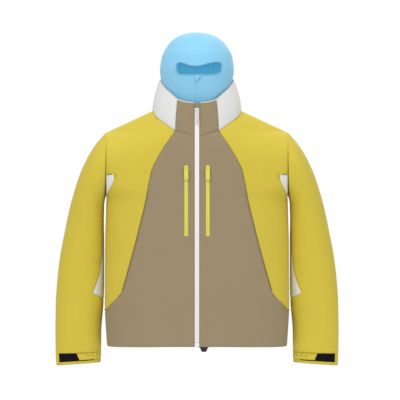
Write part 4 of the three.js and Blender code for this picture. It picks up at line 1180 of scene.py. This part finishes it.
mainZip = {"halfWidth": 6.5, "low": 14, "high": 690, "coilPitch": 1.7, "sliderTop": 686, "pullTurn": -5.5}
mainMatrix = zipMatrix(0, zipY(0))


# One side of a zip: the woven tape with a raised inner edge, and the coil behind it.
def zipSide(half, low, high, flange):
    tape = block(0.12, half - 0.3, 0.5, 1.7, low, high, 0.18)
    hem = block(half - 2.2, flange, 2.0, 3.2, low, high, 0.25)
    core = block(0.14, 1.5, 0.25, 0.9, low, high, 0.15)
    return joined([tape, hem, core])


def mainCoil():
    clearSelection()
    bpy.ops.mesh.primitive_torus_add(major_segments=9, minor_segments=4, major_radius=1.25,
                                     minor_radius=0.34, location=(1.35, 3.0, mainZip["low"] + 1),
                                     rotation=(radians(8), 0, 0))
    coil = settle()
    run = coil.modifiers.new("run", "ARRAY")
    run.count = int((mainZip["high"] - mainZip["low"] - 2) / mainZip["coilPitch"])
    run.use_relative_offset = False
    run.use_constant_offset = True
    run.constant_offset_displace = (0, 0, mainZip["coilPitch"])
    applyAll(coil)
    return placedPart(coil, mainMatrix)


def mainTape():
    tape = zipSide(mainZip["halfWidth"], mainZip["low"], mainZip["high"], 13.3)
    return placedPart(tape, mainMatrix)


mirroredPair(mainTape, "MainTape", "whiteTape", "main_zip_tape")
mirroredPair(mainCoil, "MainCoil", "whitePlastic", None)


# A slider: a shield-shaped front plate, a back plate, the post between them, and a bridge for the pull.
def sliderBody(w, length, top):
    low = top - length
    shield = [*arc(0, low + w * 0.72, w * 0.72, 200, 340, 8), (w, low + length * 0.55), (w, top - 2.2),
              *arc(w - 2, top - 2, 2, 0, 80, 3), *arc(2 - w, top - 2, 2, 100, 180, 3),
              (-w, low + length * 0.55)]
    parts = [plate(shield, -1.5, -0.3, 0.35), plate(shield, 4.8, 5.7, 0.3),
             block(-0.18, 0.18, -0.4, 4.9, low + 3, top - 1, 0.05, 1)]
    parts.append(block(-0.75, 0.75, -4.9, -1.3, top - 4.6, top - 0.9, 0.3))
    parts.append(rod(0.62, 1 - w, w - 1, -4.1, top - 2.8))
    return joined(parts)


# A pull: a moulded tag hanging from the slider's pin, with a notch at the top for the slider's post.
def pullTag(w, length, top, neck, tip, crown):
    axis = top - 2.8
    end = axis - length + 3
    peak = axis + 2.1
    foot = [*arc(-w + tip, end + tip, tip, 180, 270, 4), *arc(w - tip, end + tip, tip, 270, 360, 4)]
    right = arc(w - crown, peak - crown, crown, 0, 80, 4)
    left = arc(-w + crown, peak - crown, crown, 100, 180, 4)
    notch = [(1.15, peak), (1.15, axis - 3.8), (-1.15, axis - 3.8), (-1.15, peak)]
    blade = plate([*foot, *right, *notch, *left], -6.2, -5.0, 0.4)
    raised = [(x * 0.66, lerp(end + 3.5, axis - 6, (z - end) / (peak - end)))
              for x, z in (*foot, *right, *left)]
    inset = plate(raised, -6.4, -6.0, 0.15, 2)
    parts = [blade, inset]
    for side in (-1, 1):
        near, far = sorted((side * 1.2, side * neck))
        parts.append(rod(1.4, near, far, -4.1, axis))
        parts.append(block(near, far, -5.2, -4.2, axis - 3.5, axis + 0.6, 0.25))
    return joined(parts)


slider = placedPart(sliderBody(w=5, length=14, top=mainZip["sliderTop"]), mainMatrix)
finish(slider, "mainSlider", "whitePlastic", "main_slider", ["main_zip_slider"])
pin = Matrix.Translation((0, 0, mainZip["sliderTop"] - 2.8))
hang = pin @ Matrix.Rotation(radians(mainZip["pullTurn"]), 4, "Y") @ pin.inverted()
pull = pullTag(w=3.7, length=46, top=mainZip["sliderTop"], neck=3.0, tip=1.0, crown=1.4)
pull = placedPart(pull, mainMatrix @ hang)
finish(pull, "mainPull", "warmShadedPlastic", "main_pull", ["main_zip_pull"])
retainer = placedPart(joined([block(-6.0, 6.0, -1.1, 4.5, 0.8, 13.4, 0.9, 3),
                              block(-4.4, 4.4, -1.35, -0.9, 3, 11, 0.3)]), mainMatrix)
finish(retainer, "zipRetainer", "whitePlastic", "shell", ["main_zip_retainer_box"])
tab = [(-8.5, 689.2), (8.5, 689.2), *arc(6.5, 699, 2, 0, 90, 4), *arc(-6.5, 699, 2, 90, 180, 4)]
garage = placedPart(plate(tab, -2.1, -0.8, 0.5), mainMatrix)
finish(garage, "zipGarage", "taupe", "shell", ["zip_garage"])
flap = placedPart(joined([block(-13.3, 19.8, 6.8, 7.7, 18.4, 596.6, 0.4),
                          block(-13.3, -8.9, 4.3, 7.2, 18.4, 596.6, 0.6)]), mainMatrix)
finish(flap, "stormFlap", "taupe", "shell", ["storm_flap"])
print("main zip ready")

pocket = {"x": 31, "low": 318, "high": 522, "half": 5.5, "sliderTop": 516}
pocketY = -standOff(pocket["x"], pocket["low"], True) - torso["frontLean"] * pocket["low"]
pocketMatrix = zipMatrix(pocket["x"], pocketY)


def pocketTape():
    side = zipSide(pocket["half"], pocket["low"] + 0.6, pocket["high"] - 5, 10.8)
    other = mirroredCopy(side, "other")
    inner = [(-5.3, 514), (5.3, 514), (5.3, 518), *arc(0, 517.4, 5.2, 8, 172, 10), (-5.3, 518)]
    cover = [(-6.1, 516.4), (6.1, 516.4), (6.0, 518.4), (4.2, 521.6), (1.6, 523.6), (-1.6, 523.6),
             (-4.2, 521.6), (-6.0, 518.4)]
    ends = [block(-5, 5, 0.4, 3.4, pocket["low"] + 0.6, pocket["low"] + 6, 0.4),
            plate(inner, 0.2, 3.2, 0.3), plate(cover, -1.5, -0.1, 0.4)]
    return placedPart(joined([side, other, *ends]), pocketMatrix)


def pocketSlider():
    return placedPart(sliderBody(w=4.1, length=12, top=pocket["sliderTop"]), pocketMatrix)


def pocketPull():
    tag = pullTag(w=6.0, length=35.4, top=pocket["sliderTop"], neck=3.0, tip=1.2, crown=1.9)
    return placedPart(tag, pocketMatrix)


mirroredPair(pocketTape, "PocketZip", "limeTape", "pocket_zip")
mirroredPair(pocketSlider, "PocketSlider", "limePlastic", "pocket_slider",
             ("left_pocket_slider", "right_pocket_slider"))
mirroredPair(pocketPull, "PocketPull", "limePlastic", "pocket_pull",
             ("left_pocket_pull", "right_pocket_pull"))
print("pocket zips ready")


# Drawcord and its lock.
lock = {"x": 20, "halfWidth": 12.6, "halfDepth": 5.6, "bottom": -11.4, "top": 13.2, "y": zipY(0) + 8.9}
lockMatrix = Matrix.Translation(place(0, 0, 0)) @ Matrix.Scale(0.001, 4)


def lockShape(grow=0.0):
    x, w, low, top = lock["x"], lock["halfWidth"] - grow, lock["bottom"] + grow, lock["top"] - grow
    return [*arc(x - w + 6.4, low + 2.4, 2.4, 200, 270, 4), *arc(x + w - 6.4, low + 2.4, 2.4, 270, 340, 4),
            (x + w, 1), (x + w, top - 3), *arc(x + w - 3, top - 3, 3, 10, 90, 4),
            *arc(x - w + 3, top - 3, 3, 90, 170, 4), (x - w, top - 3), (x - w, 1)]


lockX, lockY = lock["x"], lock["y"]
lockFront = lockY - lock["halfDepth"]
body = joined([plate(lockShape(), lockFront, lockY + lock["halfDepth"], 1.6, 4),
               plate(lockShape(3.2), lockFront - 0.5, lockFront + 0.6, 0.3)])
subtract(body, block(lockX - 7.6, lockX + 7.6, lockY - 4.5, lockY + 4.5, -13, -7.8, 0.3))
finish(placedPart(body, lockMatrix), "cordLockBody", "plastic", "shell", ["cord_lock_body"])
clearSelection()
bpy.ops.mesh.primitive_cylinder_add(vertices=28, radius=4.1, depth=16, location=(lockX, lockY, -3.6))
stem = bpy.context.object
bpy.ops.mesh.primitive_cylinder_add(vertices=36, radius=7.2, depth=2.4, location=(lockX, lockY, -12.8),
                                    scale=(1, 0.58, 1))
cap = bpy.context.object
for part in (stem, cap):
    choose(part)
    settle()
    roundEdges(0.5, 3)
button = placedPart(joined([stem, cap]), lockMatrix)
finish(button, "cordLockButton", "plastic", "lock_button", ["cord_lock_button"])


# A round cord or wire along a list of places.
def cordAlong(points, radius, closed=False, resolution=3):
    clearSelection()
    bpy.ops.curve.primitive_nurbs_path_add()
    path = bpy.context.object
    path.data.splines.clear()
    spline = path.data.splines.new("POLY")
    spline.points.add(len(points) - 1)
    for at, point in zip(spline.points, points):
        at.co = (*place(*point), 1)
    spline.use_cyclic_u = closed
    path.data.bevel_depth = radius / 1000
    path.data.bevel_resolution = resolution
    path.data.use_fill_caps = not closed
    choose(path)
    bpy.ops.object.convert(target="MESH")
    return bpy.context.object


turns = [6 * pi * i / 90 for i in range(91)]
coil = [(lockX + 3 * cos(t), lockY + 3 * sin(t), 5.6 + 4.4 * t / (6 * pi)) for t in turns]
spring = cordAlong(coil, 0.42)
finish(spring, "cordLockSpring", "steel", "shell", ["cord_lock_spring"])
place(lockX, lockY, 10.4)
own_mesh(spring)
ring = hemRing(14, 5.6, 40)
cordRoute = [(4, lockY, 0), (20, lockY, 0), (33, lockY, 0), (38, lockY, 1.5)]
cordRoute += [(lerp(38, ring[5][0], t), lerp(lockY, ring[5][1], t), lerp(1.5, 14, smoothstep(t, 0, 1)))
              for t in (0.2, 0.4, 0.6, 0.8)]
cordRoute += ring[6:]
finish(cordAlong(cordRoute, 1.5), "hemDrawcord", "webbing", "shell", ["hem_drawcord"])
print("drawcord ready")


# Hood.
# Levels of the hood: height above the neck point, half width, front and back.
hoodLevels = [(-42, 84, -84, 46), (-2, 87, -91, 48), (28, 92, -98, 54), (58, 98, -105, 66),
              (86, 103, -110, 79),
              (118, 107.5, -113, 94), (157, 102.5, -107, 104), (188, 87, -91, 99), (209, 67.5, -69, 84),
              (222, 42, -42, 60), (227.5, 18, -16, 34), (228.6, 0, 8, 8)]
# Half width, front and back run along the hood's own outline, so that the crown is as smooth as the sides.
hoodRun = [0.0]
for (z0, w0, *_), (z1, w1, *_) in zip(hoodLevels, hoodLevels[1:]):
    hoodRun.append(hoodRun[-1] + hypot(z1 - z0, w1 - w0))
hoodCurves = [smooth([(run, row[i]) for run, row in zip(hoodRun, hoodLevels)]) for i in range(4)]


def hoodPoint(run, angle):
    height, w, front, back = [curve(run) for curve in hoodCurves]
    half = max((back - front) / 2, 0)
    return (max(w, 0) * cos(angle), (front + back) / 2 + half * sin(angle), neckZ + height)


hoodAt = [smooth([(neckZ + row[0], row[i]) for row in hoodLevels[:8]]) for i in (1, 2, 3)]


def hoodFront(x, z, depth=0.0):
    w, front, back = [curve(z) for curve in hoodAt]
    half = (back - front) / 2 - depth
    return (front + back) / 2 - half * sqrt(max(0, 1 - (x / (w - depth)) ** 2))


def hoodCloth():
    rows = []
    for i in range(101):
        run = hoodRun[-1] * (1 - (1 - i / 100) ** 1.25)
        run = min(run, hoodRun[-1] - 0.02)
        rows.append([hoodPoint(run, -pi / 2 + 2 * pi * j / 140) for j in range(141)])
    return cutCloth("hood", rows, thickness=0, roll=0.8, closed=True, edges="C", drift=0.5)


eyeTop = smooth([(-61, 805), (-59.5, 813), (-55, 819.5), (-47, 820.5), (-36, 817.5), (-20, 812), (-4, 810),
                 (12, 812), (28, 816.5), (44, 820.5), (58, 822), (67, 820.5), (71, 815), (72.5, 806)])
eyeBottom = smooth([(-61, 805), (-59.5, 795), (-55, 787), (-46, 783.4), (-20, 782.4), (0, 783), (24, 782),
                    (48, 784), (62, 787), (70, 794), (72.5, 806)])
eyeXs = [-61 + 133.5 * (1 - cos(pi * i / 44)) / 2 for i in range(45)]
eyeOutline = [(x, eyeBottom(x)) for x in eyeXs] + [(x, eyeTop(x)) for x in eyeXs[-2:0:-1]]

hoodTrim = {"thickness": 1.6, "bindingRadius": 1.9, "maskSeamRadius": 0.55, "sideSeamRadius": 1.35,
            "sideSeamX": 49, "sideSeamShare": 0.86, "maskX": -5.5}
hood = hoodCloth()
thicken(hood, hoodTrim["thickness"])
carve(hood, eyeOutline, -160, -30)
finish(hood, "hoodShell", "blue", "hood", ["hood_shell", "hood_back_panel"])
declareSheet(hood, ["collar_facing"])
binding = cordAlong([(x, hoodFront(x, z, 0.6), z) for x, z in eyeOutline], hoodTrim["bindingRadius"],
                     closed=True, resolution=5)
finish(binding, "eyeSlotBinding", "binding", "hood")
maskX = hoodTrim["maskX"]
seamLine = [(maskX + 1.5 * sin((z - 640) / 60), hoodFront(maskX, z, 0.25), z) for z in range(642, 784, 6)]
finish(cordAlong(seamLine, hoodTrim["maskSeamRadius"]), "maskSeam", "binding", "hood")
for side, sideName in ((1, "left"), (-1, "right")):
    ridge = []
    for i in range(46):
        run = hoodRun[-1] * hoodTrim["sideSeamShare"] * i / 45
        height, w, front, back = [curve(run) for curve in hoodCurves]
        x = min(hoodTrim["sideSeamX"], w * 0.8)
        half = (back - front) / 2
        ridge.append((side * x, (front + back) / 2 + half * sqrt(1 - (x / w) ** 2) - 1.0, neckZ + height))
    finish(cordAlong(ridge, hoodTrim["sideSeamRadius"]), sideName + "HoodSeam", "binding", "hood")


def maskFlap():
    rows = []
    for z, reach in ((760, 0.5), (766, 5), (772, 10), (777, 14), (782, 18)):
        row = []
        for share in [j / 10 for j in range(11)]:
            x = maskX + lerp(-1.5, reach, share)
            row.append((x, hoodFront(x, z, -2.6 - 5.0 * share * (z - 758) / 24), z))
        rows.append(row)
    return cutCloth("maskFlap", rows, thickness=1.1, roll=0.7, rollWidth=2)


declareSheet(finish(maskFlap(), "maskFlap", "blue", "hood", ["mask_flap"]), ["hood_shell"])
for side in ("left", "right"):
    low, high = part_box("hood_strap_" + side)
    strap = block(*[end[axis] * 1000 for axis in range(3) for end in (low, high)], 0.5)
    strap.data.transform(Matrix.Scale(0.001, 4))
    middle = (low + high) / 2
    clearSelection()
    bpy.ops.mesh.primitive_uv_sphere_add(segments=24, ring_count=12, radius=0.0042,
                                         location=(middle.x, middle.y, high.z), scale=(1, 1, 0.28))
    stud = settle()
    finish(joined([strap, stud]), side + "HoodStrap", "blue", "shell", ["hood_strap_" + side])

# Hanger loop, inside the back of the neck.
low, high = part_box("hanger_loop")
loopTop = high.z * 1000
run = 24.3
outline = [(-31.5, loopTop - 16.3), (-30, loopTop - 16.3), *arc(-run + 2.5, loopTop - 4, 2.5, 180, 90, 5),
           *arc(run - 2.5, loopTop - 4, 2.5, 90, 0, 5), (30, loopTop - 16.3), (31.5, loopTop - 16.3),
           *arc(run - 2.2, loopTop - 3.2, 3.2, 0, 90, 5), *arc(-run + 2.2, loopTop - 3.2, 3.2, 90, 180, 5)]
webbing = plate(outline, -3.5, 3.5, 0.3)
ends = [block(side * 31 - 6, side * 31 + 6, -3.4, high.y * 1000 - 0.3, loopTop - 18, loopTop - 15.4, 0.5)
        for side in (-1, 1)]
loop = joined([webbing, *ends])
loop.data.transform(Matrix.Scale(0.001, 4))
finish(loop, "hangerLoop", "webbing", "shell", ["hanger_loop"])
print("hood and loop ready")

# Studio.
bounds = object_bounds()
floorHeight = bounds[0][2] - 0.3
clearSelection()
bpy.ops.mesh.primitive_plane_add(size=3.2, location=(0, 0, floorHeight))
floor = bpy.context.object
floor.name = "floor"
shade = Shade("pale floor")
floorX, floorY, _ = shade.split(shade.place())
shade.set(Base_Color=(0.9, 0.9, 0.9), Roughness=0.8,
          Alpha=shade.range(floorX * floorX + floorY * floorY, 0.35, 2.4, 1.0, 0.0))
floor.data.materials.append(shade.material)

view = {"width": 1.16, "distance": 12.0, "centre": Vector((0.0087, 0, -0.295))}
cameraY = middleDepth / 1000 - view["distance"]
bpy.ops.object.camera_add(location=(view["centre"].x, cameraY, view["centre"].z), rotation=(pi / 2, 0, 0))
camera = bpy.context.object
camera.data.lens_unit = "FOV"
camera.data.angle = 2 * atan2(view["width"] / 2, view["distance"] - 0.03)
camera.data.clip_end = 50
bpy.context.scene.camera = camera


lamps = {"key": ((-1.7, -3.2, 2.0), 2.4, 52), "fill": ((2.4, -2.8, 0.8), 2.6, 22),
         "top": ((0, -0.5, 2.6), 2.2, 22), "back": ((0.6, 3.0, 1.4), 2.6, 52)}  # location, size and power
for name, (location, size, power) in lamps.items():
    bpy.ops.object.light_add(type="AREA", location=location)
    lamp = bpy.context.object
    lamp.name = name
    lamp.data.size = size
    lamp.data.energy = power
    aim = Vector((0, -0.06, -0.35)) - Vector(location)
    lamp.rotation_euler = aim.to_track_quat("-Z", "Y").to_euler()
hoodLamp = {"height": 100, "power": 0.12, "colour": (0.73, 1.0, 0.76), "size": 0.05}
bpy.ops.object.light_add(type="POINT", location=place(0, 0, neckZ + hoodLamp["height"]))
lamp = bpy.context.object
lamp.name = "inside the hood"
lamp.data.energy = hoodLamp["power"]
lamp.data.color = hoodLamp["colour"]
lamp.data.shadow_soft_size = hoodLamp["size"]
whiteRoom = {"lighting": 0.56, "camera": 1.0}
world = bpy.data.worlds.new("white room")
bpy.context.scene.world = world
world.use_nodes = True
room = world.node_tree
backdrop = room.nodes["Background"]
backdrop.inputs[0].default_value = (1, 1, 1, 1)
seen = room.nodes.new("ShaderNodeLightPath")
strength = room.nodes.new("ShaderNodeMapRange")
strength.inputs["To Min"].default_value = whiteRoom["lighting"]
strength.inputs["To Max"].default_value = whiteRoom["camera"]
room.links.new(seen.outputs["Is Camera Ray"], strength.inputs["Value"])
room.links.new(strength.outputs[0], backdrop.inputs[1])
bpy.context.scene.view_settings.view_transform = "Standard"
print("studio ready")
